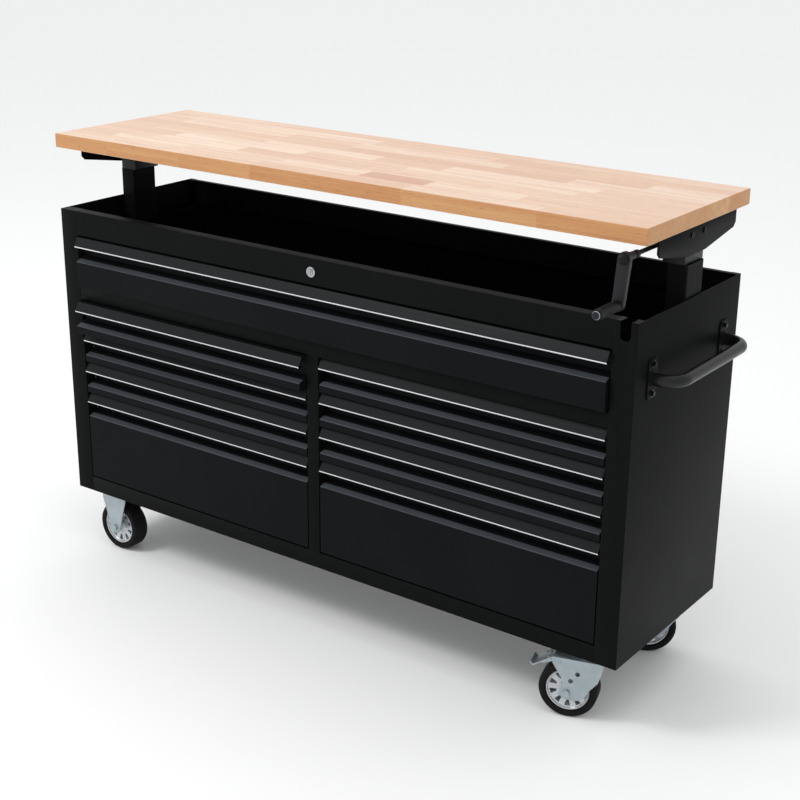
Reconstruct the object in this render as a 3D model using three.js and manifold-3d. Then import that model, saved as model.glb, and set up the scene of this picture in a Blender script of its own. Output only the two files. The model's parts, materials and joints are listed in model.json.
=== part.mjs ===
// Rolling tool chest: a steel cabinet with nine drawers on four casters, and a wooden worktop that a
// hand crank lifts on two telescopic columns. Millimetres, +Z up, +X to the right, +Y to the back.
// Everything is laid out in the cabinet's own frame: x from its left side, y from its front face and
// z from its underside. The group is shifted at the end, so that the origin is under the middle.
import * as THREE from "three";
import { mergeVertices } from "three/addons/utils/BufferGeometryUtils.js";
import Module from "manifold-3d";

const wasm = await Module();
wasm.setup();

// ---- Driving dimensions ----

// Cabinet
const BODY_W = 1575;
const BODY_D = 460;
const BODY_H = 736;
const SHEET = 1.2; // steel sheet of the cabinet and the drawers
const GAP = 0.3; // between pieces that touch
const POST_W = 52; // front face of a corner post
const POST_RETURN = 30; // depth of a post's folded edge
const REAR_FLANGE = 20;
const DIVIDER_W = 32;
const BASE_RAIL_H = 39;
const BASE_RAIL_RETURN = 25;
const LOCK_PANEL_BOTTOM = BODY_H - 60;
const LOCK_PANEL_LIP = 20;
const LOCK_PANEL_RIM = 28;
const WIDE_OPENING_H = 129;
const CROSS_RAIL = {
  bottom: LOCK_PANEL_BOTTOM - WIDE_OPENING_H - 32,
  top: LOCK_PANEL_BOTTOM - WIDE_OPENING_H,
};
const BACK_RIM = 12.5;

// Open till under the worktop
const TILL_FLOOR_Z = LOCK_PANEL_BOTTOM - 1.5;
const TILL_UPSTAND = 25;
const TILL_RIB = { count: 4, first: 107, width: 10, height: 2, end: 72 };
const TILL_RIB_PITCH = (BODY_D - 16) / TILL_RIB.count;

// Drawers
const SHALLOW_COUNT = 3;
const SHALLOW_PITCH = 81.3;
const FRONT_GAP_TOP = 3.5;
const FRONT_GAP_BOTTOM = 3;
const FRONT_GAP_SIDE = 3;
const FRONT_LIP = 16; // folded bottom edge of a front
const GRIP_DEPTH = 30; // finger recess behind the pull
const GRIP_REAR_DROP = 48;
const GRIP_FRONT_DROP = 60;
const BOX_DEPTH = BODY_D - 60;
const BOX_LIFT = 6; // box floor above the front's bottom edge
const BOX_SIDE_SHARE = 0.78; // height of a box's sides as a share of the room above its floor
const WIDE_AJAR = 11; // how far the wide drawer stands open at rest
const SHALLOW_AJAR = 22; // the same for the top left drawer

// Pull: a folded profile with a sloped band and a narrow front edge
const PULL_SHEET = 1.6;
const PULL_TOP_Y = 8;
const PULL_PROUD = 3;
const PULL_BAND_DROP = 20;
const PULL_EDGE = 4;
const PULL_RETURN = 13;

// Drawer slides
const SLIDE_ROOM = 12.7; // between the opening's edge and the drawer box
const SLIDE_LENGTH = BOX_DEPTH;
const SLIDE_FRONT = GRIP_DEPTH + 3;
const SLIDE_SHEET = 1.2;
const SLIDE_FLANGE = 10;
const SLIDE_CLEARANCE = 0.5;
const SLIDE_LIGHT = 35;
const SLIDE_HEAVY = 45;
const SLIDE_RAISE = 6; // slide's lower edge above the box floor
const RACK = { inset: 0.8, sheet: 1, top: TILL_FLOOR_Z - 24.5 };

// Lock
const LOCK_Z = LOCK_PANEL_BOTTOM + 30;
const LOCK = { flange: 12, barrel: 9.7, hole: 10, plug: 6, bore: 6.3, proud: 3, depth: 20 };
const LOCK_CAM = { width: 8, reach: 26, sheet: 2 };
const KEYWAY = { width: 1.6, height: 7, depth: 2.5 };

// Side handle
const HANDLE = { z: BODY_H - 126, inset: 69, radius: 13, reach: 56, bend: 40 };
const HANDLE_PLATE = { width: 38, height: 84, sheet: 3 };

// Worktop, at rest above the cabinet
const TOP = {
  overhang: 6,
  front: 2,
  depth: BODY_D - 4,
  thickness: 34,
  underside: BODY_H + 148.5,
  chamfer: 2,
};

// Lift columns: distances are from the cabinet's side
const COLUMN_Y = BODY_D / 2 + 11;
const OUTER_TUBE = { near: 1.7, far: 50.7, depth: 80, top: TILL_FLOOR_Z - 19.5, wall: 2 };
const INNER_TUBE = { clearance: 0.5, wall: 2, bottom: OUTER_TUBE.top - 325 };
const FOOT_PLATE = 4.5;
const GEARBOX = { near: 9, far: 58, depth: 80, bottom: TOP.underside - 79.5, clearance: 0.3 };
const NUT_POST = { radius: 15, top: INNER_TUBE.bottom - 70, floor: 10 };
const SCREW = { radius: 8, bottom: NUT_POST.top - 95, top: GEARBOX.bottom + 30, clearance: 0.5 };
const TILL_HOLE_MARGIN = 4;

// Arms that carry the worktop
const ARM = { near: 4.5, plate: 4, flangeFar: 45, flange: 3.2, front: 72, rear: BODY_D - 40 };
const ARM_DEPTH = { tip: 40, root: 61, corner: 9 };

// Crank and cross shaft
const CRANK_X = BODY_W - 26;
const SHAFT_Z = TOP.underside - 22.1;
const SHAFT_R = 4.5;
const SHAFT_BORE = SHAFT_R + 0.5;
const CRANK_SHAFT_END = COLUMN_Y - 16;
const CROSS_SHAFT_INSET = 36;
const CRANK_HUB = { radius: 13, collar: 8, front: -26.5, armBack: -15.5, collarBack: 10 };
const CRANK_THROW = 91;
const CRANK_TILT = THREE.MathUtils.degToRad(5);
const CRANK_TIP_RADIUS = 12;
const GRIP = { radius: 11.5, bore: 5.4, spindle: 5, front: -104.5, head: 7.5, headDepth: 3 };
const NOTCH = { width: 23, centreZ: BODY_H - 28 };

// Casters
const WHEEL_R = 63.5;
const CASTER_H = 2 * WHEEL_R + 33;
const TYRE = { inner: WHEEL_R - 15.2, width: 46, shoulder: 5, crown: 1 };
const RIM = { ring: 4, face: 14, hub: 12, hubWidth: 50, ringWidth: 40, bore: 5.3 };
const RIM_WINDOW = { count: 10, depth: 15, edge: 3, innerHalf: 2.6, outerHalf: 6.4 };
const WHEEL_SIDES = 40;
const AXLE = { radius: 5, head: 9, length: 78 };
const PLATE = { length: 96, width: 76, thickness: 3 };
const FORK = { inside: 30, sheet: 3 };
const RACE = { cup: 29, cupDepth: 8, crown: 27, crownTop: -11.6, deck: -16, bottom: -19 };
const RIGID_LEG = { inset: 8, shoulder: 16, foot: 17 };
const CASTER_INSET_Y = 50;
const RIGID_INSET_X = 106;
const SWIVEL_INSET_X = 85;
const TRAIL = 41;
const SWIVEL_YAW = { front: THREE.MathUtils.degToRad(16), rear: THREE.MathUtils.degToRad(30) };
const PEDAL = {
  x: -58,
  z: -26,
  radius: 5.5,
  halfWidth: 21,
  knee: -76, // where the blade turns down
  drop: 31,
  sheet: 3,
  tip: -118,
  curl: 6,
  bore: 2.6,
};

// Leg of a swivel caster, as x and z from its axle, below a deck of the given reach
const SWIVEL_LEG = {
  deck: [-32, 74],
  corners: [
    [-32, 66],
    [-7, 26],
    [-15, 7],
    [-16, -6],
    [-7, -14],
    [10, -16.5],
    [25, -14],
    [39, -6],
    [49, 14],
    [66, 35],
    [74, 60],
  ],
  holes: [
    [22.5, 48],
    [8.5, 29.5],
  ],
  holeRadius: 5.2,
};

// ---- Materials ----

const finish = (color, roughness, metalness) =>
  new THREE.MeshStandardMaterial({ color, roughness, metalness });
const blackPaint = finish(0x1c1d1f, 0.45, 0.1);
const drawerPaint = finish(0x242528, 0.4, 0.1);
const pullMetal = finish(0x5b5d60, 0.4, 0.6);
const butcherBlock = finish(0xd8ab7c, 0.55, 0);
const zinc = finish(0xb4bcc2, 0.35, 0.9);
const castBlack = finish(0x2b2c2e, 0.5, 0.3);
const rubber = finish(0x19191a, 0.85, 0);
const alloy = finish(0xc9ccd0, 0.3, 0.9);
const chrome = finish(0xd6d8da, 0.15, 1);
const blackPlastic = finish(0x151516, 0.5, 0);

// ---- Solids ----

// A closed three.js geometry as a solid that can be joined and cut. Corners are rounded to a
// micron, so that faces meant to be flush are exactly flush.
const MICRON = 1e-3;
const toSolid = (geometry) => {
  const bare = geometry.clone();
  bare.deleteAttribute("normal");
  bare.deleteAttribute("uv");
  const corners = bare.attributes.position.array;
  corners.forEach((value, i) => {
    corners[i] = Math.round(value / MICRON) * MICRON;
  });
  const merged = mergeVertices(bare, MICRON / 10);
  return new wasm.Manifold(
    new wasm.Mesh({
      numProp: 3,
      vertProperties: merged.attributes.position.array,
      triVerts: new Uint32Array(merged.index.array),
    }),
  );
};

const join = (...solids) => solids.reduce((sum, solid) => sum.add(solid));
const cut = (solid, ...tools) => tools.reduce((rest, tool) => rest.subtract(tool), solid);

// A block between two limits on each axis.
const block = (x, y, z) => {
  const geometry = new THREE.BoxGeometry(x[1] - x[0], y[1] - y[0], z[1] - z[0]);
  geometry.translate((x[0] + x[1]) / 2, (y[0] + y[1]) / 2, (z[0] + z[1]) / 2);
  return toSolid(geometry);
};

// A round or many-sided rod along an axis. Its centre is given on the other two axes.
const rod = (axis, centre, radius, low, high, sides = 24) => {
  const geometry = new THREE.CylinderGeometry(radius, radius, high - low, sides);
  const middle = (low + high) / 2;
  if (axis === "x") geometry.rotateZ(Math.PI / 2).translate(middle, centre[0], centre[1]);
  if (axis === "y") geometry.translate(centre[0], middle, centre[1]);
  if (axis === "z") geometry.rotateX(Math.PI / 2).translate(centre[0], centre[1], middle);
  return toSolid(geometry);
};

// Where an outline's own x, y and depth point for a prism along each axis.
const PRISM_BASIS = {
  x: [[0, 1, 0], [0, 0, 1], [1, 0, 0]],
  y: [[1, 0, 0], [0, 0, 1], [0, -1, 0]],
  z: [[1, 0, 0], [0, 1, 0], [0, 0, 1]],
};

const outline = (points) => new THREE.Shape(points.map(([u, v]) => new THREE.Vector2(u, v)));

// A straight prism. The outline is (y, z) along x, (x, z) along y and (x, y) along z.
const prism = (axis, shape, low, high) => {
  const geometry = new THREE.ExtrudeGeometry(shape, {
    depth: high - low,
    bevelEnabled: false,
    curveSegments: 8,
  });
  const basis = PRISM_BASIS[axis].map((direction) => new THREE.Vector3(...direction));
  geometry.applyMatrix4(new THREE.Matrix4().makeBasis(...basis));
  geometry.translate(axis === "x" ? low : 0, axis === "y" ? high : 0, axis === "z" ? low : 0);
  return toSolid(geometry);
};

// The section of a folded sheet: a path of outer corners, with the sheet on its right-hand side.
const foldedSheet = (path, thickness) => {
  const corners = path.map(([u, v]) => new THREE.Vector2(u, v));
  const normals = corners.slice(1).map((corner, i) => {
    const along = corner.clone().sub(corners[i]).normalize();
    return new THREE.Vector2(along.y, -along.x);
  });
  const inner = corners.map((corner, i) => {
    const before = normals[Math.max(i - 1, 0)];
    const after = normals[Math.min(i, normals.length - 1)];
    const mitre = before.clone().add(after);
    return corner.clone().addScaledVector(mitre, thickness / (1 + before.dot(after)));
  });
  return new THREE.Shape([...corners, ...inner.reverse()]);
};

// A band that wraps two circles, each given as x, z and radius.
const linkOutline = (first, second) => {
  const along = Math.atan2(second.z - first.z, second.x - first.x);
  const shape = new THREE.Shape();
  shape.absarc(first.x, first.z, first.radius, along + Math.PI / 2, along + 1.5 * Math.PI, false);
  shape.absarc(second.x, second.z, second.radius, along - Math.PI / 2, along + Math.PI / 2, false);
  return shape;
};

// A span across the cabinet, measured from its left or its right side.
const across = (side, near, far) => (side === "left" ? [near, far] : [BODY_W - far, BODY_W - near]);
const fromSide = (side, distance) => (side === "left" ? distance : BODY_W - distance);
const around = (centre, size) => [centre - size / 2, centre + size / 2];
const shrink = ([low, high], by) => [low + by, high - by];

const chest = new THREE.Group();

const addPart = (name, solid, material, parent = chest) => {
  const { vertProperties, triVerts } = solid.getMesh();
  const geometry = new THREE.BufferGeometry();
  geometry.setAttribute("position", new THREE.BufferAttribute(vertProperties, 3));
  geometry.setIndex(new THREE.BufferAttribute(triVerts, 1));
  geometry.computeVertexNormals();
  const mesh = new THREE.Mesh(geometry, material);
  mesh.name = name;
  parent.add(mesh);
};

const SIDES = ["left", "right"];
const BETWEEN_POSTS = [POST_W + GAP, BODY_W - POST_W - GAP];
const INSIDE_SIDES = [SHEET + GAP, BODY_W - SHEET - GAP];
const BACK_FACE = BODY_D - SHEET - GAP; // outer face of the back panel
const INSIDE_BACK = BACK_FACE - SHEET - GAP;
const BASE_TOP = GAP + SHEET + GAP;

// ---- Cabinet shell ----

// Side panel folded into a post at the front and a flange at the rear, with a cap on the post.
const sidePanel = (side) => {
  const section = foldedSheet(
    [
      [fromSide(side, REAR_FLANGE), BODY_D],
      [fromSide(side, 0), BODY_D],
      [fromSide(side, 0), 0],
      [fromSide(side, POST_W), 0],
      [fromSide(side, POST_W), POST_RETURN],
    ],
    side === "left" ? -SHEET : SHEET,
  );
  const capTop = BODY_H - GAP;
  return join(
    prism("z", section, 0, BODY_H),
    block(
      across(side, SHEET / 2, POST_W - SHEET / 2),
      [SHEET / 2, POST_RETURN - SHEET],
      [capTop - SHEET, capTop],
    ),
  );
};

// Round-bottomed notch in the right post that the crank shaft drops into.
const shaftNotch = () => {
  const radius = NOTCH.width / 2;
  const shape = new THREE.Shape();
  shape.moveTo(CRANK_X - radius, BODY_H + 1);
  shape.lineTo(CRANK_X - radius, NOTCH.centreZ);
  shape.absarc(CRANK_X, NOTCH.centreZ, radius, Math.PI, 2 * Math.PI, false);
  shape.lineTo(CRANK_X + radius, BODY_H + 1);
  return prism("y", shape, -1, POST_RETURN + 1);
};

addPart("left_side_panel", sidePanel("left"), blackPaint);
addPart("right_side_panel", cut(sidePanel("right"), shaftNotch()), blackPaint);

// Back panel, folded forward along its top edge.
const backSection = foldedSheet(
  [
    [BACK_FACE - BACK_RIM, BODY_H],
    [BACK_FACE, BODY_H],
    [BACK_FACE, 0],
  ],
  SHEET,
);
addPart("back_panel", prism("x", backSection, ...INSIDE_SIDES), blackPaint);

// Bottom of the cabinet, lapped onto the rail under the lowest drawers.
const baseOutline = outline([
  [BETWEEN_POSTS[0], SHEET / 2],
  [BETWEEN_POSTS[1], SHEET / 2],
  [BETWEEN_POSTS[1], POST_RETURN + GAP],
  [INSIDE_SIDES[1], POST_RETURN + GAP],
  [INSIDE_SIDES[1], INSIDE_BACK],
  [INSIDE_SIDES[0], INSIDE_BACK],
  [INSIDE_SIDES[0], POST_RETURN + GAP],
  [BETWEEN_POSTS[0], POST_RETURN + GAP],
]);
const baseRailSection = foldedSheet(
  [
    [FRONT_LIP, 0],
    [0, 0],
    [0, BASE_RAIL_H],
    [BASE_RAIL_RETURN, BASE_RAIL_H],
  ],
  SHEET,
);
addPart(
  "base_panel",
  join(
    prism("z", baseOutline, GAP, GAP + SHEET),
    prism("x", baseRailSection, ...BETWEEN_POSTS),
  ),
  blackPaint,
);

// Fixed panel with the lock, folded back along its top and bottom edges.
const LOCK_X = BODY_W / 2;
const lockPanelSection = foldedSheet(
  [
    [LOCK_PANEL_LIP, LOCK_PANEL_BOTTOM],
    [0, LOCK_PANEL_BOTTOM],
    [0, BODY_H],
    [LOCK_PANEL_RIM, BODY_H],
    [LOCK_PANEL_RIM, BODY_H - LOCK_PANEL_LIP],
  ],
  SHEET,
);
addPart(
  "lock_panel",
  cut(
    prism("x", lockPanelSection, ...BETWEEN_POSTS),
    rod("y", [LOCK_X, LOCK_Z], LOCK.hole, -1, SHEET + 1),
  ),
  blackPaint,
);

// Floor of the till, with long stiffening ribs and a hole for each lift column.
const columnHole = (side) =>
  block(
    across(side, -1, GEARBOX.far + TILL_HOLE_MARGIN),
    around(COLUMN_Y, GEARBOX.depth + 2 * TILL_HOLE_MARGIN),
    [TILL_FLOOR_Z - SHEET - 1, TILL_FLOOR_Z + TILL_RIB.height + 1],
  );
const tillRibs = Array.from({ length: TILL_RIB.count }, (_, i) =>
  block(
    [TILL_RIB.end, BODY_W - TILL_RIB.end],
    around(TILL_RIB.first + i * TILL_RIB_PITCH, TILL_RIB.width),
    [TILL_FLOOR_Z - SHEET, TILL_FLOOR_Z + TILL_RIB.height],
  ),
);
const tillFront = POST_RETURN + GAP;
addPart(
  "till_floor",
  cut(
    join(
      block(INSIDE_SIDES, [tillFront, INSIDE_BACK], [TILL_FLOOR_Z - SHEET, TILL_FLOOR_Z]),
      block(
        INSIDE_SIDES,
        [tillFront, tillFront + SHEET],
        [TILL_FLOOR_Z - SHEET, TILL_FLOOR_Z + TILL_UPSTAND],
      ),
      ...tillRibs,
    ),
    ...SIDES.map(columnHole),
  ),
  blackPaint,
);

// ---- Drawers and their slides ----

const MIDDLE = BODY_W / 2;
const COLUMN_OPENINGS = {
  left: [POST_W, MIDDLE - DIVIDER_W / 2],
  right: [MIDDLE + DIVIDER_W / 2, BODY_W - POST_W],
};

// One drawer: its front and its box, which fill an opening between two heights.
const drawerRow = (name, opening, bottom, top, slideHeight, ajar = 0, gapBelow = 0) => ({
  name,
  front: [opening[0] + FRONT_GAP_SIDE, opening[1] - FRONT_GAP_SIDE],
  box: [opening[0] + SLIDE_ROOM, opening[1] - SLIDE_ROOM],
  bottom: bottom + gapBelow,
  top: top - FRONT_GAP_TOP,
  slideHeight,
  ajar,
});

const boxFloor = (drawer) => drawer.bottom + BOX_LIFT;
const sideHeight = (drawer) => (drawer.top - boxFloor(drawer)) * BOX_SIDE_SHARE;
const slideCentre = (drawer) => boxFloor(drawer) + SLIDE_RAISE + drawer.slideHeight / 2;

const wideDrawer = drawerRow(
  "wide_drawer",
  [POST_W, BODY_W - POST_W],
  CROSS_RAIL.top,
  LOCK_PANEL_BOTTOM,
  SLIDE_HEAVY,
  WIDE_AJAR,
  FRONT_GAP_BOTTOM,
);

const shallowDrawers = (side) =>
  Array.from({ length: SHALLOW_COUNT }, (_, i) =>
    drawerRow(
      `${side}_drawer_${i + 1}`,
      COLUMN_OPENINGS[side],
      CROSS_RAIL.bottom - (i + 1) * SHALLOW_PITCH,
      CROSS_RAIL.bottom - i * SHALLOW_PITCH,
      SLIDE_LIGHT,
      side === "left" && i === 0 ? SHALLOW_AJAR : 0,
    ),
  );

const deepDrawer = (side) =>
  drawerRow(
    `${side}_drawer_${SHALLOW_COUNT + 1}`,
    COLUMN_OPENINGS[side],
    BASE_RAIL_H,
    CROSS_RAIL.bottom - SHALLOW_COUNT * SHALLOW_PITCH,
    SLIDE_HEAVY,
    0,
    FRONT_GAP_BOTTOM,
  );

const drawersOf = { left: [], right: [] };
for (const side of SIDES) {
  drawersOf[side] = [...shallowDrawers(side), deepDrawer(side)];
}

// Folded front: bottom lip, face and sloped floor of the finger recess, joined to the inner wall.
const lipSlope = (GRIP_FRONT_DROP - GRIP_REAR_DROP) / GRIP_DEPTH;
const lipThickness = SHEET * Math.hypot(1, lipSlope);
const frontSection = (drawer) => {
  const lipTop = (y) => drawer.top - GRIP_FRONT_DROP + lipSlope * y;
  return outline([
    [FRONT_LIP, drawer.bottom],
    [0, drawer.bottom],
    [0, lipTop(0)],
    [GRIP_DEPTH, lipTop(GRIP_DEPTH)],
    [GRIP_DEPTH, drawer.top],
    [GRIP_DEPTH + SHEET, drawer.top],
    [GRIP_DEPTH + SHEET, boxFloor(drawer)],
    [GRIP_DEPTH, boxFloor(drawer)],
    [GRIP_DEPTH, lipTop(GRIP_DEPTH) - lipThickness],
    [SHEET, lipTop(SHEET) - lipThickness],
    [SHEET, drawer.bottom + SHEET],
    [FRONT_LIP, drawer.bottom + SHEET],
  ]);
};

// Plate that closes an end of the hollow front, lapped into its face and its inner wall.
const frontEnd = (drawer, x) => {
  const inset = SHEET / 2;
  const lipTop = (y) => drawer.top - GRIP_FRONT_DROP + lipSlope * y - lipThickness / 2;
  const section = outline([
    [inset, drawer.bottom + inset],
    [inset, lipTop(inset)],
    [GRIP_DEPTH + inset, lipTop(GRIP_DEPTH + inset)],
    [GRIP_DEPTH + inset, boxFloor(drawer) + inset],
    [GRIP_DEPTH - SHEET, drawer.bottom + inset],
  ]);
  return prism("x", section, x - inset, x + inset);
};

// The moving member of a slide, riveted along the box's side.
const slideMember = (drawer, wall, outward) => {
  const reach = SLIDE_ROOM - SLIDE_SHEET - SLIDE_CLEARANCE - RACK.sheet;
  const halfHeight = drawer.slideHeight / 2 - SLIDE_SHEET - SLIDE_CLEARANCE;
  const x = [wall - outward * (SHEET / 2), wall + outward * reach].sort((a, b) => a - b);
  const centre = slideCentre(drawer);
  return block(x, [SLIDE_FRONT, SLIDE_FRONT + SLIDE_LENGTH], [centre - halfHeight, centre + halfHeight]);
};

// Folded tray that laps the inner wall of the front.
const drawerTray = (drawer) => {
  const floor = boxFloor(drawer) + SHEET / 2;
  const depth = [GRIP_DEPTH + SHEET / 2, GRIP_DEPTH + BOX_DEPTH];
  return cut(
    block(drawer.box, depth, [floor, floor + sideHeight(drawer)]),
    block(
      shrink(drawer.box, SHEET),
      shrink(depth, SHEET),
      [floor + SHEET, floor + sideHeight(drawer) + 1],
    ),
  );
};

const drawerBox = (drawer) => {
  const [left, right] = drawer.box;
  const [frontLeft, frontRight] = drawer.front;
  return join(
    prism("x", frontSection(drawer), frontLeft, frontRight),
    frontEnd(drawer, frontLeft + SHEET),
    frontEnd(drawer, frontRight - SHEET),
    drawerTray(drawer),
    slideMember(drawer, left, -1),
    slideMember(drawer, right, 1),
  );
};

const pullSection = (drawer) =>
  foldedSheet(
    [
      [PULL_RETURN - PULL_PROUD, drawer.top - PULL_BAND_DROP - PULL_EDGE],
      [-PULL_PROUD, drawer.top - PULL_BAND_DROP - PULL_EDGE],
      [-PULL_PROUD, drawer.top - PULL_BAND_DROP],
      [PULL_TOP_Y, drawer.top],
      [GRIP_DEPTH - GAP, drawer.top],
    ],
    PULL_SHEET,
  );

for (const drawer of [wideDrawer, ...drawersOf.left, ...drawersOf.right]) {
  const sliding = new THREE.Group();
  sliding.position.y = -drawer.ajar;
  chest.add(sliding);
  addPart(drawer.name, drawerBox(drawer), drawerPaint, sliding);
  addPart(`${drawer.name}_pull`, prism("x", pullSection(drawer), ...drawer.front), pullMetal, sliding);
}

// The fixed member of a slide: a channel that opens away from the wall it is sunk into.
const slideChannel = (drawer, wall, outward) => {
  const [low, high] = around(slideCentre(drawer), drawer.slideHeight);
  const webX = wall - outward * (SLIDE_SHEET / 2);
  const edgeX = wall + outward * SLIDE_FLANGE;
  const section = foldedSheet(
    [
      [edgeX, low],
      [webX, low],
      [webX, high],
      [edgeX, high],
    ],
    outward * SLIDE_SHEET,
  );
  return prism("y", section, SLIDE_FRONT, SLIDE_FRONT + SLIDE_LENGTH);
};

// Rail under the wide drawer, folded back along both edges.
const crossRailSection = foldedSheet(
  [
    [POST_RETURN, CROSS_RAIL.bottom],
    [0, CROSS_RAIL.bottom],
    [0, CROSS_RAIL.top],
    [POST_RETURN, CROSS_RAIL.top],
  ],
  SHEET,
);

// Divider between the two columns of drawers, with the rail under the wide drawer.
const dividerX = around(MIDDLE, DIVIDER_W);
const railBehind = BASE_RAIL_RETURN + GAP;
const dividerWall = (x) => {
  const section = outline([
    [SHEET / 2, BASE_RAIL_H + GAP],
    [railBehind, BASE_RAIL_H + GAP],
    [railBehind, BASE_TOP],
    [INSIDE_BACK, BASE_TOP],
    [INSIDE_BACK, CROSS_RAIL.bottom + SHEET / 2],
    [SHEET / 2, CROSS_RAIL.bottom + SHEET / 2],
  ]);
  return prism("x", section, ...x);
};
addPart(
  "centre_divider",
  join(
    block(dividerX, [0, SHEET], [BASE_RAIL_H + GAP, CROSS_RAIL.bottom + SHEET / 2]),
    dividerWall([dividerX[0], dividerX[0] + SHEET]),
    dividerWall([dividerX[1] - SHEET, dividerX[1]]),
    prism("x", crossRailSection, ...BETWEEN_POSTS),
    ...drawersOf.left.map((drawer) => slideChannel(drawer, dividerX[0], -1)),
    ...drawersOf.right.map((drawer) => slideChannel(drawer, dividerX[1], 1)),
  ),
  blackPaint,
);

// Upright plate beside each lift column, which carries the outer slides.
for (const side of SIDES) {
  const near = POST_W - RACK.inset;
  const far = near + RACK.sheet;
  const outward = side === "left" ? 1 : -1;
  addPart(
    `slide_rack_${side}`,
    join(
      block(
        across(side, near, far),
        [POST_RETURN + GAP, INSIDE_BACK],
        [BASE_TOP, RACK.top],
      ),
      ...[wideDrawer, ...drawersOf[side]].map((drawer) =>
        slideChannel(drawer, fromSide(side, far), outward),
      ),
    ),
    zinc,
  );
}

// ---- Lock ----

addPart(
  "lock_housing",
  cut(
    join(
      rod("y", [LOCK_X, LOCK_Z], LOCK.flange, -LOCK.proud, -GAP, 32),
      rod("y", [LOCK_X, LOCK_Z], LOCK.barrel, -1, LOCK.depth),
    ),
    rod("y", [LOCK_X, LOCK_Z], LOCK.bore, -LOCK.proud - 1, LOCK.depth + 1),
  ),
  chrome,
);
const plugFront = -LOCK.proud - GAP;
const camBack = LOCK.depth + GAP + LOCK_CAM.sheet;
addPart(
  "lock_plug",
  cut(
    join(
      rod("y", [LOCK_X, LOCK_Z], LOCK.plug, plugFront, camBack),
      block(
        around(LOCK_X, LOCK_CAM.width),
        [LOCK.depth + GAP, camBack],
        [LOCK_Z - LOCK_CAM.reach, LOCK_Z + LOCK.plug],
      ),
    ),
    block(
      around(LOCK_X, KEYWAY.width),
      [plugFront - 1, plugFront + KEYWAY.depth],
      around(LOCK_Z, KEYWAY.height),
    ),
  ),
  chrome,
);

// ---- Side handle: a bent tube between two bolted plates ----

const HANDLE_ENDS = [HANDLE.inset, BODY_D - HANDLE.inset];

const handleTube = () => {
  const [front, rear] = HANDLE_ENDS;
  const inner = BODY_W + GAP + HANDLE_PLATE.sheet / 2;
  const outer = BODY_W + HANDLE.reach;
  const point = (x, y) => new THREE.Vector3(x, y, HANDLE.z);
  const path = new THREE.CurvePath();
  path.add(new THREE.LineCurve3(point(inner, front), point(outer - HANDLE.bend, front)));
  path.add(
    new THREE.QuadraticBezierCurve3(
      point(outer - HANDLE.bend, front),
      point(outer, front),
      point(outer, front + HANDLE.bend),
    ),
  );
  path.add(
    new THREE.LineCurve3(
      point(outer, front + HANDLE.bend),
      point(outer, rear - HANDLE.bend),
    ),
  );
  path.add(
    new THREE.QuadraticBezierCurve3(
      point(outer, rear - HANDLE.bend),
      point(outer, rear),
      point(outer - HANDLE.bend, rear),
    ),
  );
  path.add(new THREE.LineCurve3(point(outer - HANDLE.bend, rear), point(inner, rear)));
  const section = new THREE.Shape().absarc(0, 0, HANDLE.radius, 0, 2 * Math.PI, false);
  const steps = 48;
  return toSolid(
    new THREE.ExtrudeGeometry(section, { steps, extrudePath: path, curveSegments: 8 }),
  );
};
const handlePlate = (y) =>
  block(
    [BODY_W + GAP, BODY_W + GAP + HANDLE_PLATE.sheet],
    around(y, HANDLE_PLATE.width),
    around(HANDLE.z, HANDLE_PLATE.height),
  );
addPart(
  "side_handle",
  join(handleTube(), ...HANDLE_ENDS.map(handlePlate)),
  blackPaint,
);

// ---- Lift columns ----

const tubeY = around(COLUMN_Y, OUTER_TUBE.depth);
const screwOffset = (OUTER_TUBE.near + OUTER_TUBE.far) / 2;

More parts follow.
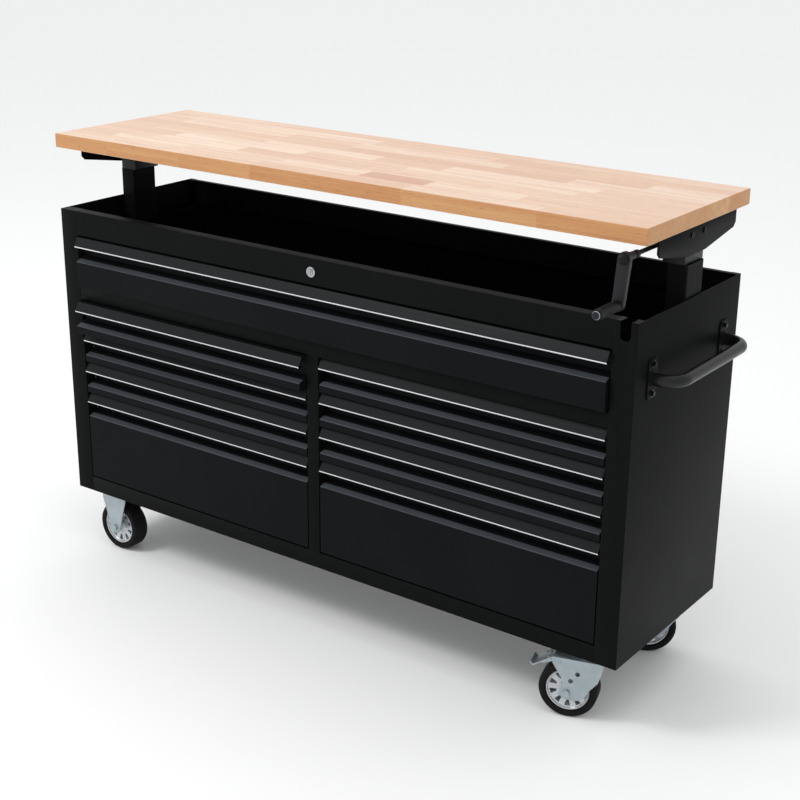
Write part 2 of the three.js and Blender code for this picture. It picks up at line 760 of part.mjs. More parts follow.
for (const side of SIDES) {
  const outerX = across(side, OUTER_TUBE.near, OUTER_TUBE.far);
  const toInner = OUTER_TUBE.wall + INNER_TUBE.clearance;
  const innerX = shrink(outerX, toInner);
  const innerY = shrink(tubeY, toInner);
  const screwAxis = [fromSide(side, screwOffset), COLUMN_Y];

  // Outer tube on the cabinet's floor, with the nut on a post inside it.
  const footTop = BASE_TOP + FOOT_PLATE;
  addPart(
    `column_outer_${side}`,
    cut(
      join(
        cut(
          block(outerX, tubeY, [BASE_TOP, OUTER_TUBE.top]),
          block(
            shrink(outerX, OUTER_TUBE.wall),
            shrink(tubeY, OUTER_TUBE.wall),
            [footTop, OUTER_TUBE.top + 1],
          ),
        ),
        rod("z", screwAxis, NUT_POST.radius, footTop - 1, NUT_POST.top, 16),
      ),
      rod("z", screwAxis, SCREW.radius + SCREW.clearance, NUT_POST.floor, NUT_POST.top + 1, 16),
    ),
    castBlack,
  );

  // Inner tube that slides in it.
  const innerTop = GEARBOX.bottom - GAP;
  addPart(
    `column_inner_${side}`,
    cut(
      block(innerX, innerY, [INNER_TUBE.bottom, innerTop]),
      block(
        shrink(innerX, INNER_TUBE.wall),
        shrink(innerY, INNER_TUBE.wall),
        [INNER_TUBE.bottom - 1, innerTop + 1],
      ),
    ),
    blackPaint,
  );

  // Lead screw that hangs from the gearbox into the nut.
  addPart(`lead_screw_${side}`, rod("z", screwAxis, SCREW.radius, SCREW.bottom, SCREW.top, 16), zinc);

  // Gearbox on top of the inner tube.
  const flangeBottom = TOP.underside - GAP - ARM.flange;
  const gearboxInnerX = fromSide(side, GEARBOX.far);
  const crossBore = [gearboxInnerX, fromSide(side, CROSS_SHAFT_INSET - 1)].sort((a, b) => a - b);
  const gearboxY = around(COLUMN_Y, GEARBOX.depth);
  const bores = [
    rod(
      "z",
      screwAxis,
      SCREW.radius + SCREW.clearance,
      GEARBOX.bottom - 1,
      SCREW.top + 1,
      16,
    ),
    rod("x", [COLUMN_Y, SHAFT_Z], SHAFT_BORE, crossBore[0] - 1, crossBore[1] + 1),
  ];
  if (side === "right") {
    bores.push(rod("y", [CRANK_X, SHAFT_Z], SHAFT_BORE, gearboxY[0] - 1, CRANK_SHAFT_END + 1));
  }
  addPart(
    `gearbox_${side}`,
    cut(
      block(
        across(side, GEARBOX.near, GEARBOX.far),
        gearboxY,
        [GEARBOX.bottom, flangeBottom - GEARBOX.clearance],
      ),
      ...bores,
    ),
    castBlack,
  );

  // Arm under the worktop: an upright plate that tapers to its tips, with a flange on top.
  const armTop = TOP.underside - GAP;
  const armPlate = outline([
    [ARM.front, armTop],
    [ARM.front, armTop - ARM_DEPTH.tip + ARM_DEPTH.corner],
    [ARM.front + ARM_DEPTH.corner, armTop - ARM_DEPTH.tip],
    [tubeY[0], armTop - ARM_DEPTH.root],
    [tubeY[1], armTop - ARM_DEPTH.root],
    [ARM.rear - ARM_DEPTH.corner, armTop - ARM_DEPTH.tip],
    [ARM.rear, armTop - ARM_DEPTH.tip + ARM_DEPTH.corner],
    [ARM.rear, armTop],
  ]);
  const arm = join(
    prism("x", armPlate, ...across(side, ARM.near, ARM.near + ARM.plate)),
    block(across(side, ARM.near, ARM.flangeFar), [ARM.front, ARM.rear], [flangeBottom, armTop]),
  );
  addPart(`arm_${side}`, arm, blackPaint);
}

// Shaft between the two gearboxes.
addPart(
  "cross_shaft",
  rod("x", [COLUMN_Y, SHAFT_Z], SHAFT_R, CROSS_SHAFT_INSET, BODY_W - CROSS_SHAFT_INSET, 6),
  zinc,
);

// ---- Worktop ----

// A slab whose upper and lower edges are eased: the middle of the outline is full size.
const worktop = () => {
  const x = [-TOP.overhang + TOP.chamfer, BODY_W + TOP.overhang - TOP.chamfer];
  const y = [TOP.front + TOP.chamfer, TOP.front + TOP.depth - TOP.chamfer];
  const geometry = new THREE.ExtrudeGeometry(
    outline([
      [x[0], y[0]],
      [x[1], y[0]],
      [x[1], y[1]],
      [x[0], y[1]],
    ]),
    {
      depth: TOP.thickness - 2 * TOP.chamfer,
      bevelThickness: TOP.chamfer,
      bevelSize: TOP.chamfer,
      bevelSegments: 1,
    },
  );
  geometry.translate(0, 0, TOP.underside + TOP.chamfer);
  return toSolid(geometry);
};
addPart("worktop", worktop(), butcherBlock);

// ---- Crank ----

const gripX = CRANK_X - CRANK_THROW * Math.sin(CRANK_TILT);
const gripZ = SHAFT_Z - CRANK_THROW * Math.cos(CRANK_TILT);
const crankArm = linkOutline(
  { x: CRANK_X, z: SHAFT_Z, radius: CRANK_HUB.radius },
  { x: gripX, z: gripZ, radius: CRANK_TIP_RADIUS },
);
addPart(
  "crank",
  join(
    prism("y", crankArm, CRANK_HUB.front, CRANK_HUB.armBack),
    rod("y", [CRANK_X, SHAFT_Z], CRANK_HUB.collar, CRANK_HUB.armBack - 1, CRANK_HUB.collarBack),
    rod("y", [CRANK_X, SHAFT_Z], SHAFT_R, CRANK_HUB.armBack, CRANK_SHAFT_END, 16),
    rod("y", [gripX, gripZ], GRIP.spindle, GRIP.front - GAP - 1, CRANK_HUB.front + 1, 16),
    rod("y", [gripX, gripZ], GRIP.head, GRIP.front - GAP - GRIP.headDepth, GRIP.front - GAP, 16),
  ),
  castBlack,
);
addPart(
  "crank_grip",
  cut(
    rod("y", [gripX, gripZ], GRIP.radius, GRIP.front, CRANK_HUB.front - GAP),
    rod("y", [gripX, gripZ], GRIP.bore, GRIP.front - 1, CRANK_HUB.front + 1, 16),
  ),
  blackPlastic,
);

// ---- Casters ----

const AXLE_Z = WHEEL_R - CASTER_H;

// A ring turned about the y axis from a closed section of (radius, y) corners.
const ring = (corners, sides = WHEEL_SIDES) =>
  toSolid(
    new THREE.LatheGeometry(
      [...corners, corners[0]].map(([radius, y]) => new THREE.Vector2(radius, y)),
      sides,
    ),
  );

const tyre = () => {
  const half = TYRE.width / 2;
  return ring([
    [TYRE.inner, -half + TYRE.shoulder],
    [TYRE.inner + TYRE.shoulder, -half],
    [WHEEL_R - TYRE.shoulder, -half],
    [WHEEL_R - TYRE.crown, -half + TYRE.shoulder],
    [WHEEL_R, 0],
    [WHEEL_R - TYRE.crown, half - TYRE.shoulder],
    [WHEEL_R - TYRE.shoulder, half],
    [TYRE.inner + TYRE.shoulder, half],
    [TYRE.inner, half - TYRE.shoulder],
  ]);
};

const RIM_OUTER = TYRE.inner - GAP;
const RIM_INNER = RIM_OUTER - RIM.ring;

const rimWindow = (index) => {
  const outer = RIM_INNER - RIM_WINDOW.edge;
  const inner = outer - RIM_WINDOW.depth;
  const turn = (index + 0.5) * ((2 * Math.PI) / RIM_WINDOW.count);
  const corner = (radius, half) => [
    radius * Math.cos(turn) - half * Math.sin(turn),
    radius * Math.sin(turn) + half * Math.cos(turn),
  ];
  const shape = outline([
    corner(inner, -RIM_WINDOW.innerHalf),
    corner(outer, -RIM_WINDOW.outerHalf),
    corner(outer, RIM_WINDOW.outerHalf),
    corner(inner, RIM_WINDOW.innerHalf),
  ]);
  return prism("y", shape, -RIM.face - 1, RIM.face + 1);
};

const rim = () => {
  const body = ring([
    [RIM.bore, -RIM.hubWidth / 2],
    [RIM.hub, -RIM.hubWidth / 2],
    [RIM.hub, -RIM.face],
    [RIM_INNER, -RIM.face],
    [RIM_INNER, -RIM.ringWidth / 2],
    [RIM_OUTER, -RIM.ringWidth / 2 + TYRE.shoulder / 2],
    [RIM_OUTER, RIM.ringWidth / 2 - TYRE.shoulder / 2],
    [RIM_INNER, RIM.ringWidth / 2],
    [RIM_INNER, RIM.face],
    [RIM.hub, RIM.face],
    [RIM.hub, RIM.hubWidth / 2],
    [RIM.bore, RIM.hubWidth / 2],
  ]);
  const windows = Array.from({ length: RIM_WINDOW.count }, (_, i) => rimWindow(i));
  return cut(body, ...windows);
};

const axle = (x) =>
  join(
    rod("y", [x, AXLE_Z], AXLE.radius, -FORK.inside - 1, FORK.inside + 1, 12),
    rod("y", [x, AXLE_Z], AXLE.head, FORK.inside + FORK.sheet - 1, AXLE.length / 2, 6),
    rod("y", [x, AXLE_Z], AXLE.head, -AXLE.length / 2, 1 - FORK.inside - FORK.sheet, 6),
  );

const mountingPlate = () =>
  block(around(0, PLATE.length), around(0, PLATE.width), [-GAP - PLATE.thickness, -GAP]);

const forkLegs = (leg) =>
  join(
    prism("y", leg, FORK.inside, FORK.inside + FORK.sheet),
    prism("y", leg, -FORK.inside - FORK.sheet, -FORK.inside),
  );

// Leg of a rigid caster: straight down from the plate to the axle.
const rigidLeg = () => {
  const top = -GAP - PLATE.thickness / 2;
  const half = PLATE.length / 2 - RIGID_LEG.inset;
  const shape = new THREE.Shape();
  shape.moveTo(half, top);
  shape.lineTo(-half, top);
  shape.lineTo(-half, top - RIGID_LEG.shoulder);
  shape.lineTo(-RIGID_LEG.foot, AXLE_Z);
  shape.absarc(0, AXLE_Z, RIGID_LEG.foot, Math.PI, 2 * Math.PI, false);
  shape.lineTo(half, top - RIGID_LEG.shoulder);
  return shape;
};

// Leg of a swivel caster: swept back to the trailing axle, with two lightening holes.
const deckX = SWIVEL_LEG.deck.map((x) => x - TRAIL);
const swivelLeg = () => {
  const fromAxle = ([x, z]) => [x - TRAIL, z + AXLE_Z];
  const shape = outline([
    [deckX[1], RACE.deck],
    [deckX[0], RACE.deck],
    ...SWIVEL_LEG.corners.map(fromAxle),
  ]);
  for (const [x, z] of SWIVEL_LEG.holes.map(fromAxle)) {
    shape.holes.push(new THREE.Path().absarc(x, z, SWIVEL_LEG.holeRadius, 0, 2 * Math.PI, true));
  }
  return shape;
};

// Adds a wheel to a caster's own frame, where the plate's centre is the origin.
const addWheel = (caster, name, x) => {
  const wheel = new THREE.Group();
  wheel.position.set(x, 0, AXLE_Z);
  caster.add(wheel);
  addPart(`rim_${name}`, rim(), alloy, wheel);
  addPart(`tyre_${name}`, tyre(), rubber, wheel);
};

const pedal = () => {
  const hub = [PEDAL.x, PEDAL.z];
  const slope = Math.tan(THREE.MathUtils.degToRad(PEDAL.drop));
  const top = PEDAL.z + PEDAL.sheet / 2;
  const tipZ = top - (PEDAL.knee - PEDAL.tip) * slope;
  const lever = foldedSheet(
    [
      [PEDAL.x + PEDAL.radius / 2, top],
      [PEDAL.knee, top],
      [PEDAL.tip, tipZ],
      [PEDAL.tip - PEDAL.curl, tipZ + PEDAL.curl],
    ],
    -PEDAL.sheet,
  );
  return cut(
    join(
      rod("y", hub, PEDAL.radius, -FORK.inside + 0.5, FORK.inside - 0.5, 16),
      prism("y", lever, -PEDAL.halfWidth, PEDAL.halfWidth),
    ),
    rod("y", hub, PEDAL.bore, -FORK.inside, FORK.inside, 12),
  );
};

// The pin that the pedal turns on, held in the fork's legs.
const pedalPin = () =>
  rod("y", [PEDAL.x, PEDAL.z], PEDAL.bore - 0.3, -FORK.inside - 5, FORK.inside + 5, 12);

const CASTER_ROWS = { front: CASTER_INSET_Y, rear: BODY_D - CASTER_INSET_Y };
for (const [row, y] of Object.entries(CASTER_ROWS)) {
  const rigid = new THREE.Group();
  rigid.position.set(RIGID_INSET_X, y, 0);
  chest.add(rigid);
  addPart(
    `rigid_fork_${row}`,
    join(mountingPlate(), forkLegs(rigidLeg()), axle(0)),
    zinc,
    rigid,
  );
  addWheel(rigid, `rigid_${row}`, 0);

  const plate = new THREE.Group();
  plate.position.set(BODY_W - SWIVEL_INSET_X, y, 0);
  chest.add(plate);
  const cupBottom = -GAP - PLATE.thickness - RACE.cupDepth;
  addPart(
    `swivel_plate_${row}`,
    join(
      mountingPlate(),
      rod("z", [0, 0], RACE.cup, cupBottom, -GAP - PLATE.thickness + 1),
    ),
    zinc,
    plate,
  );

  const swivel = new THREE.Group();
  swivel.rotation.z = SWIVEL_YAW[row];
  plate.add(swivel);
  addPart(
    `swivel_fork_${row}`,
    join(
      rod("z", [0, 0], RACE.crown, RACE.bottom, RACE.crownTop),
      block(deckX, around(0, 2 * (FORK.inside + FORK.sheet)), [RACE.bottom, RACE.deck]),
      forkLegs(swivelLeg()),
      axle(-TRAIL),
      pedalPin(),
    ),
    zinc,
    swivel,
  );
  addPart(`brake_pedal_${row}`, pedal(), zinc, swivel);
  addWheel(swivel, `swivel_${row}`, -TRAIL);
}

// ---- Frame: origin on the floor, under the middle of the whole object ----

const leftmost = -TOP.overhang;
const rightmost = BODY_W + HANDLE.reach + HANDLE.radius;
const foremost = GRIP.front - GAP - GRIP.headDepth;
chest.position.set(-(leftmost + rightmost) / 2, -(foremost + BODY_D) / 2, CASTER_H);

const toolChest = new THREE.Group();
toolChest.add(chest);

export default toolChest;
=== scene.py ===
"""Looks of a rolling tool chest: a black steel cabinet with nine drawers on four casters, and a
butcher-block worktop that a hand crank lifts on two columns. Lengths are millimetres from the
cabinet's own front left bottom corner, until place() turns them into metres in the shared frame."""
import json
import math
import random

import bmesh
import bpy
from mathutils import Matrix, Vector


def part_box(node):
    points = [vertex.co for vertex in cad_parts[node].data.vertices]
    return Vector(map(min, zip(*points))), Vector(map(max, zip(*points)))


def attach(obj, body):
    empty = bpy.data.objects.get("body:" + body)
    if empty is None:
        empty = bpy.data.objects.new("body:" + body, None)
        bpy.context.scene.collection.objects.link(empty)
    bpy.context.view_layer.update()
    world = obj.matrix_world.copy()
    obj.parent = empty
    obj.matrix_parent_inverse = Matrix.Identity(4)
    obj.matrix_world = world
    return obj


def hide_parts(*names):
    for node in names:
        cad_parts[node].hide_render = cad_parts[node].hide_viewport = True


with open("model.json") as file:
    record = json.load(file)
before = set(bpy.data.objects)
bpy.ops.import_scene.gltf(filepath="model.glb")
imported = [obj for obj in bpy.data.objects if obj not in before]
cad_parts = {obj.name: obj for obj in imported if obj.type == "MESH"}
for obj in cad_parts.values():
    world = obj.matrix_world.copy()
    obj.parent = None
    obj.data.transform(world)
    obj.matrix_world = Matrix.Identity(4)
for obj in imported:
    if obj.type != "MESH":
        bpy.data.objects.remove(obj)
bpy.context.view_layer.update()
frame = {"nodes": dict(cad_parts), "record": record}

MM = 0.001
BODY_OF = {
    node: body for body, nodes in frame["record"]["behaviour"]["bodies"].items() for node in nodes
}
SLOT_OF = {part["node"]: part["material_slot"] for part in frame["record"]["subparts"]}
JOINTS = {joint["name"]: joint for joint in frame["record"]["behaviour"]["joints"]}
CORNER = Vector(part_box("left_side_panel")[0])
CABINET_W = (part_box("right_side_panel")[1][0] - CORNER.x) / MM
CABINET_D = (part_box("left_side_panel")[1][1] - CORNER.y) / MM
CABINET_H = (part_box("left_side_panel")[1][2] - CORNER.z) / MM


def place(x, y, z):
    """A point in the cabinet's own millimetres, in metres in the shared frame."""
    return CORNER + Vector((x, y, z)) * MM


def box_mm(node):
    """Lowest and highest corner of a node, in the cabinet's own millimetres."""
    low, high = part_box(node)
    return (Vector(low) - CORNER) / MM, (Vector(high) - CORNER) / MM


# ---- Camera, floor and light ----

def set_camera():
    data = bpy.data.cameras.new("camera")
    data.lens = 67.46
    data.sensor_width = 36
    camera = bpy.data.objects.new("camera", data)
    bpy.context.scene.collection.objects.link(camera)
    turn = (
        Matrix.Rotation(math.radians(35.83), 4, "Z")
        @ Matrix.Rotation(math.radians(90 - 19.966), 4, "X")
        @ Matrix.Rotation(math.radians(0.569), 4, "Z")
    )
    camera.matrix_world = Matrix.Translation(place(2782.6, -2430.8, 1553.8)) @ turn
    bpy.context.scene.camera = camera


def soft_light(name, at, aim, size, watts):
    data = bpy.data.lights.new(name, "AREA")
    data.shape = "RECTANGLE"
    data.size, data.size_y = size
    data.energy = watts
    light = bpy.data.objects.new(name, data)
    bpy.context.scene.collection.objects.link(light)
    look = (Vector(aim) - Vector(at)).to_track_quat("-Z", "Y").to_matrix().to_4x4()
    light.matrix_world = Matrix.Translation(at) @ look


# ---- Materials ----

def linear(hex_colour):
    """An sRGB hex colour as linear RGBA."""
    channels = [int(hex_colour[i:i + 2], 16) / 255 for i in (1, 3, 5)]
    curve = [c / 12.92 if c <= 0.04045 else ((c + 0.055) / 1.055) ** 2.4 for c in channels]
    return (*curve, 1)


def add(tree, kind, inputs=None, **settings):
    """Adds a node with its settings, and fills its inputs with values or links."""
    new = tree.nodes.new(kind)
    for key, value in settings.items():
        setattr(new, key, value)
    for key, value in (inputs or {}).items():
        if isinstance(value, bpy.types.NodeSocket):
            tree.links.new(value, new.inputs[key])
        else:
            new.inputs[key].default_value = value
    return new


def blank(name, base, metallic, roughness):
    """A material with a Principled shader, and its Object coordinates."""
    material = bpy.data.materials.new(name)
    material.use_nodes = True
    tree = material.node_tree
    shader = tree.nodes["Principled BSDF"]
    shader.inputs["Base Color"].default_value = linear(base)
    shader.inputs["Metallic"].default_value = metallic
    shader.inputs["Roughness"].default_value = roughness
    where = add(tree, "ShaderNodeTexCoord").outputs["Object"]
    return material, tree, shader, where


def per_mm(size):
    """The noise scale, in metres, that gives features of that many millimetres."""
    return 1 / (size * MM)


def mottle(tree, where, size, low, high, detail=2.0):
    """Cloudy noise with features of that size, spread between two values."""
    noise = add(tree, "ShaderNodeTexNoise", {"Vector": where, "Scale": per_mm(size), "Detail": detail})
    spread = {"Value": noise.outputs["Fac"], "From Min": 0.3, "From Max": 0.7, "To Min": low, "To Max": high}
    return add(tree, "ShaderNodeMapRange", spread).outputs["Result"]


def blend_colours(tree, amount, first, second, how="MIX"):
    """Two colours, each a hex value or a link, mixed by an amount."""
    pick = lambda c: linear(c) if isinstance(c, str) else c
    mix = add(tree, "ShaderNodeMix", {0: amount, 6: pick(first), 7: pick(second)},
              data_type="RGBA", blend_type=how)
    return mix.outputs[2]


def roughen(tree, shader, height, depth_mm, strength=1.0):
    """Bump from a height, with its real depth in millimetres."""
    bump = add(tree, "ShaderNodeBump", {"Height": height, "Distance": depth_mm * MM, "Strength": strength})
    tree.links.new(bump.outputs["Normal"], shader.inputs["Normal"])


def powder_coat(name, dark, light, gloss, shine=0.03):
    """Black polyester powder coat baked on steel: a satin skin with a faint orange peel."""
    material, tree, shader, where = blank(name, dark, 0.0, gloss)
    shader.inputs["Specular IOR Level"].default_value = shine
    tone = mottle(tree, where, 260, 0, 1)
    tree.links.new(blend_colours(tree, tone, dark, light), shader.inputs["Base Color"])
    tree.links.new(mottle(tree, where, 90, gloss - 0.01, gloss + 0.02), shader.inputs["Roughness"])
    # Orange peel is about 1 mm across on the real skin. It is drawn 3 mm across, so that it shows.
    roughen(tree, shader, mottle(tree, where, 3, 0, 1), 0.03, 0.25)
    return material


def plated_steel(name, bright, dull, rough, blotch_mm):
    """Bright zinc plate: pale blue-white metal with soft blotches and a fine satin grain."""
    material, tree, shader, where = blank(name, bright, 0.7, rough)
    tone = mottle(tree, where, blotch_mm, 0, 1, 2.0)
    tree.links.new(blend_colours(tree, tone, bright, dull), shader.inputs["Base Color"])
    tree.links.new(mottle(tree, where, blotch_mm / 2, rough - 0.03, rough + 0.05), shader.inputs["Roughness"])
    roughen(tree, shader, mottle(tree, where, 1.5, 0, 1, 4.0), 0.03, 0.4)
    return material


def brushed_profile(name, pale, dark, metallic, rough):
    """Folded aluminium brushed along its length: hair lines that run left to right."""
    material, tree, shader, where = blank(name, pale, metallic, rough)
    # Hair lines are about 0.2 mm apart. They are drawn 1.5 mm apart and 200 mm long.
    lines = add(tree, "ShaderNodeMapping", {"Vector": where, "Scale": (0.0075, 1, 1)}).outputs["Vector"]
    hair = mottle(tree, lines, 1.5, 0, 1, 3.0)
    tree.links.new(blend_colours(tree, hair, pale, dark), shader.inputs["Base Color"])
    tree.links.new(mottle(tree, lines, 2.5, rough - 0.05, rough + 0.08), shader.inputs["Roughness"])
    roughen(tree, shader, hair, 0.02, 0.3)
    shader.inputs["Specular IOR Level"].default_value = 0.2
    return material


def sand_casting():
    """Painted grey-iron casting: black enamel over the pebbly skin that the sand leaves."""
    material, tree, shader, where = blank("black_enamel_on_cast_iron", "#141517", 0.0, 0.42)
    shader.inputs["Specular IOR Level"].default_value = 0.25
    grit = mottle(tree, where, 2.2, 0, 1, 4.0)
    tree.links.new(blend_colours(tree, grit, "#121315", "#1c1d20"), shader.inputs["Base Color"])
    tree.links.new(mottle(tree, where, 9, 0.34, 0.52), shader.inputs["Roughness"])
    roughen(tree, shader, grit, 0.18, 0.5)
    return material


def moulded_rubber():
    """Black rubber moulded on the wheel: a matt skin, greyer where it has rolled."""
    material, tree, shader, where = blank("moulded_black_rubber", "#0e0e0f", 0.0, 0.72)
    shader.inputs["Specular IOR Level"].default_value = 0.15
    dust = mottle(tree, where, 14, 0, 1, 5.0)
    tree.links.new(blend_colours(tree, dust, "#0c0c0d", "#151516"), shader.inputs["Base Color"])
    tree.links.new(mottle(tree, where, 6, 0.62, 0.85), shader.inputs["Roughness"])
    roughen(tree, shader, mottle(tree, where, 1.2, 0, 1, 3.0), 0.08, 0.5)
    return material


def cast_alloy():
    """Die-cast aluminium wheel centre with a silver lacquer: bright, with a faint sparkle."""
    material, tree, shader, where = blank("silver_lacquered_alloy", "#c9ccd0", 0.6, 0.3)
    flake = mottle(tree, where, 1.6, 0, 1, 2.0)
    tree.links.new(blend_colours(tree, flake, "#d2d5d8", "#b3b7bb"), shader.inputs["Base Color"])
    tree.links.new(mottle(tree, where, 8, 0.24, 0.38), shader.inputs["Roughness"])
    roughen(tree, shader, flake, 0.03, 0.3)
    return material


def polished_chrome():
    """Chrome plate on the lock: a mirror with slight waves and faint rubbing marks."""
    material, tree, shader, where = blank("chrome_plated_brass", "#a9acaf", 1.0, 0.14)
    tone = mottle(tree, where, 5, 0, 1)
    tree.links.new(blend_colours(tree, tone, "#b4b7ba", "#8f9296"), shader.inputs["Base Color"])
    tree.links.new(mottle(tree, where, 2.5, 0.06, 0.18), shader.inputs["Roughness"])
    return material


def moulded_plastic():
    """Black polypropylene grip, spark-textured in the mould: a dull fine grain."""
    material, tree, shader, where = blank("spark_textured_polypropylene", "#0b0b0c", 0.0, 0.42)
    shader.inputs["Specular IOR Level"].default_value = 0.2
    grain = mottle(tree, where, 0.9, 0, 1, 2.0)
    tree.links.new(blend_colours(tree, grain, "#0a0a0b", "#0f0f10"), shader.inputs["Base Color"])
    tree.links.new(mottle(tree, where, 7, 0.42, 0.56), shader.inputs["Roughness"])
    roughen(tree, shader, grain, 0.05, 0.5)
    return material


def blackened_steel():
    """Black-oxide screws: dark blue-grey metal with an oily half-shine."""
    material, tree, shader, where = blank("black_oxide_steel", "#1b1d20", 0.9, 0.36)
    tone = mottle(tree, where, 3, 0, 1, 3.0)
    tree.links.new(blend_colours(tree, tone, "#17191b", "#26282b"), shader.inputs["Base Color"])
    tree.links.new(mottle(tree, where, 2, 0.3, 0.46), shader.inputs["Roughness"])
    return material


def rubberwood():
    """Finger-laid rubberwood under satin lacquer. Each stave has its own tone and its own place in
    the log, so the grain breaks at every glue line. Along the stave run soft bands and short dark
    pores; on the end grain the same pattern shows as specks."""
    material, tree, shader, where = blank("lacquered_rubberwood", "#dfb68c", 0.0, 0.36)
    tone = add(tree, "ShaderNodeAttribute", attribute_name="tone").outputs["Fac"]
    blush = add(tree, "ShaderNodeAttribute", attribute_name="blush").outputs["Fac"]
    log = add(tree, "ShaderNodeAttribute", attribute_name="log").outputs["Vector"]
    flank = add(tree, "ShaderNodeAttribute", attribute_name="flank").outputs["Fac"]
    inside = add(tree, "ShaderNodeVectorMath", {0: where, 1: log}, operation="ADD").outputs["Vector"]

    def grain(width, length, detail, warp=0.0):
        stretch = {"Vector": inside, "Scale": (width / length, 1, 1)}
        mapped = add(tree, "ShaderNodeMapping", stretch).outputs["Vector"]
        look = {"Vector": mapped, "Scale": per_mm(width), "Detail": detail, "Distortion": warp}
        return add(tree, "ShaderNodeTexNoise", look).outputs["Fac"]

    def level(value, low, high):
        span = {"Value": value, "From Min": low, "From Max": high}
        return add(tree, "ShaderNodeMapRange", span).outputs["Result"]

    bands = level(grain(14, 420, 3.0, 0.6), 0.35, 0.65)
    fibre = level(grain(2.4, 130, 4.0), 0.35, 0.7)
    # Pores are 0.3 mm wide. They are drawn 1.4 mm wide and 22 mm long, so that they show.
    pores = level(grain(1.4, 22, 1.0), 0.63, 0.72)
    wood = blend_colours(tree, tone, "#ecd5bf", "#d8b091")
    wood = blend_colours(tree, blush, wood, "#b9785a")
    wood = blend_colours(tree, bands, wood, blend_colours(tree, 0.55, wood, "#cc977a"))
    wood = blend_colours(tree, fibre, wood, blend_colours(tree, 0.35, wood, "#f0dcc2"))
    wood = blend_colours(tree, pores, wood, blend_colours(tree, 0.4, wood, "#84523a"))
    # The sides are a deeper honey tone, over the same grain.
    wood = blend_colours(tree, flank, wood, blend_colours(tree, 1.0, wood, "#dcbd8e", "MULTIPLY"))
    tree.links.new(wood, shader.inputs["Base Color"])
    sheen = {"Value": fibre, "To Min": 0.32, "To Max": 0.46}
    tree.links.new(add(tree, "ShaderNodeMapRange", sheen).outputs["Result"], shader.inputs["Roughness"])
    roughen(tree, shader, fibre, 0.06, 0.4)
    return material


CABINET_BLACK = powder_coat("black_powder_coat_on_steel", "#0f1010", "#111212", 0.42)
DRAWER_BLACK = powder_coat("black_powder_coat_on_drawers", "#121315", "#151617", 0.4)
# Painted shade: the till's coat is the cabinet's paint made blacker and duller, for the shade under the
# worktop.
TILL_PAINTED_SHADE_BLACK = powder_coat("black_powder_coat_painted_as_shade_in_the_till", "#050505", "#070707", 0.6, 0.0)
HANDLE_BLACK = powder_coat("glossy_black_powder_coat_on_the_handle", "#0d0e0f", "#101112", 0.3, 0.3)
BAND = brushed_profile("charcoal_anodised_aluminium", "#151618", "#111213", 0.3, 0.42)
# Painted highlight: this grey stands for light falling on the front of each drawer's sloped lower lip.
LIT_LIP_PAINTED_GREY = brushed_profile("grey_aluminium_painted_as_lit_lip", "#54585d", "#45494e", 0.4, 0.42)
BRIGHT_EDGE = brushed_profile("natural_anodised_aluminium", "#e3e5e7", "#c6c9cc", 0.6, 0.32)
ZINC = plated_steel("bright_zinc_plate", "#a9b3b8", "#9ca7ad", 0.36, 40)
SLIDE_ZINC = plated_steel("galvanised_slide_steel", "#9fa6ac", "#858c92", 0.42, 30)
CASTING = sand_casting()
RUBBER = moulded_rubber()
ALLOY = cast_alloy()
CHROME = polished_chrome()
PLASTIC = moulded_plastic()
BLACK_OXIDE = blackened_steel()
WOOD = rubberwood()

# ---- Making pieces ----

def to_object(name, mesh, *materials):
    piece = bpy.data.objects.new(name, mesh)
    bpy.context.scene.collection.objects.link(piece)
    for material in materials:
        mesh.materials.append(material)
    return piece


def from_faces(name, corners, faces, *materials):
    """A mesh from corners in metres, with its faces turned outwards."""
    mesh = bpy.data.meshes.new(name)
    mesh.from_pydata([tuple(c) for c in corners], [], faces)
    bm = bmesh.new()
    bm.from_mesh(mesh)
    bmesh.ops.recalc_face_normals(bm, faces=bm.faces)
    bm.to_mesh(mesh)
    bm.free()
    return to_object(name, mesh, *materials)


def shade(piece, limit=35):
    """Smooth shading that breaks at edges sharper than the limit, in degrees."""
    mesh = piece.data
    mesh.shade_smooth()
    mesh.set_sharp_from_angle(angle=math.radians(limit))
    return piece


def ease(piece, width, segments=2, limit=30):
    """Rounds a piece's edges by a real radius in millimetres."""
    bevel = piece.modifiers.new("eased edges", "BEVEL")
    bevel.width = width * MM
    bevel.segments = segments
    bevel.limit_method = "ANGLE"
    bevel.angle_limit = math.radians(limit)
    bevel.harden_normals = True
    piece.data.shade_smooth()
    return piece


def settle(piece, body, slot, *nodes):
    """Ends a piece: what it moves with, and the nodes it stands for. Its slot is not used."""
    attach(piece, body)
    if nodes:
        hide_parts(*nodes)
    return piece


def eased_copy(node, material, width, name=None, segments=2):
    """A node's own shape with its flat faces cleaned and its edges rounded."""
    bm = bmesh.new()
    bm.from_mesh(frame["nodes"][node].data)
    bmesh.ops.remove_doubles(bm, verts=bm.verts, dist=1e-6)
    bmesh.ops.dissolve_limit(bm, angle_limit=math.radians(0.5), verts=bm.verts, edges=bm.edges)
    mesh = bpy.data.meshes.new(node)
    bm.to_mesh(mesh)
    bm.free()
    piece = to_object(name or f"{node}_formed", mesh, material)
    ease(piece, width, segments)
    return settle(piece, BODY_OF[node], SLOT_OF[node], node)


AXES = {"x": (0, 1, 2), "y": (1, 0, 2), "z": (2, 0, 1)}


def along(axis, u, v, depth):
    """A corner of an outline at a depth: (y, z) along x, (x, z) along y and (x, y) along z."""
    point = [0.0, 0.0, 0.0]
    for index, value in zip(AXES[axis], (depth, u, v)):
        point[index] = value
    return place(*point)


def slab(name, outline, axis, low, high, material):
    """A straight solid with that outline."""
    count = len(outline)
    corners = [along(axis, u, v, depth) for depth in (low, high) for u, v in outline]
    faces = [tuple(range(count)), tuple(range(count, 2 * count))]
    faces += [(i, (i + 1) % count, count + (i + 1) % count, count + i) for i in range(count)]
    return from_faces(name, corners, faces, material)


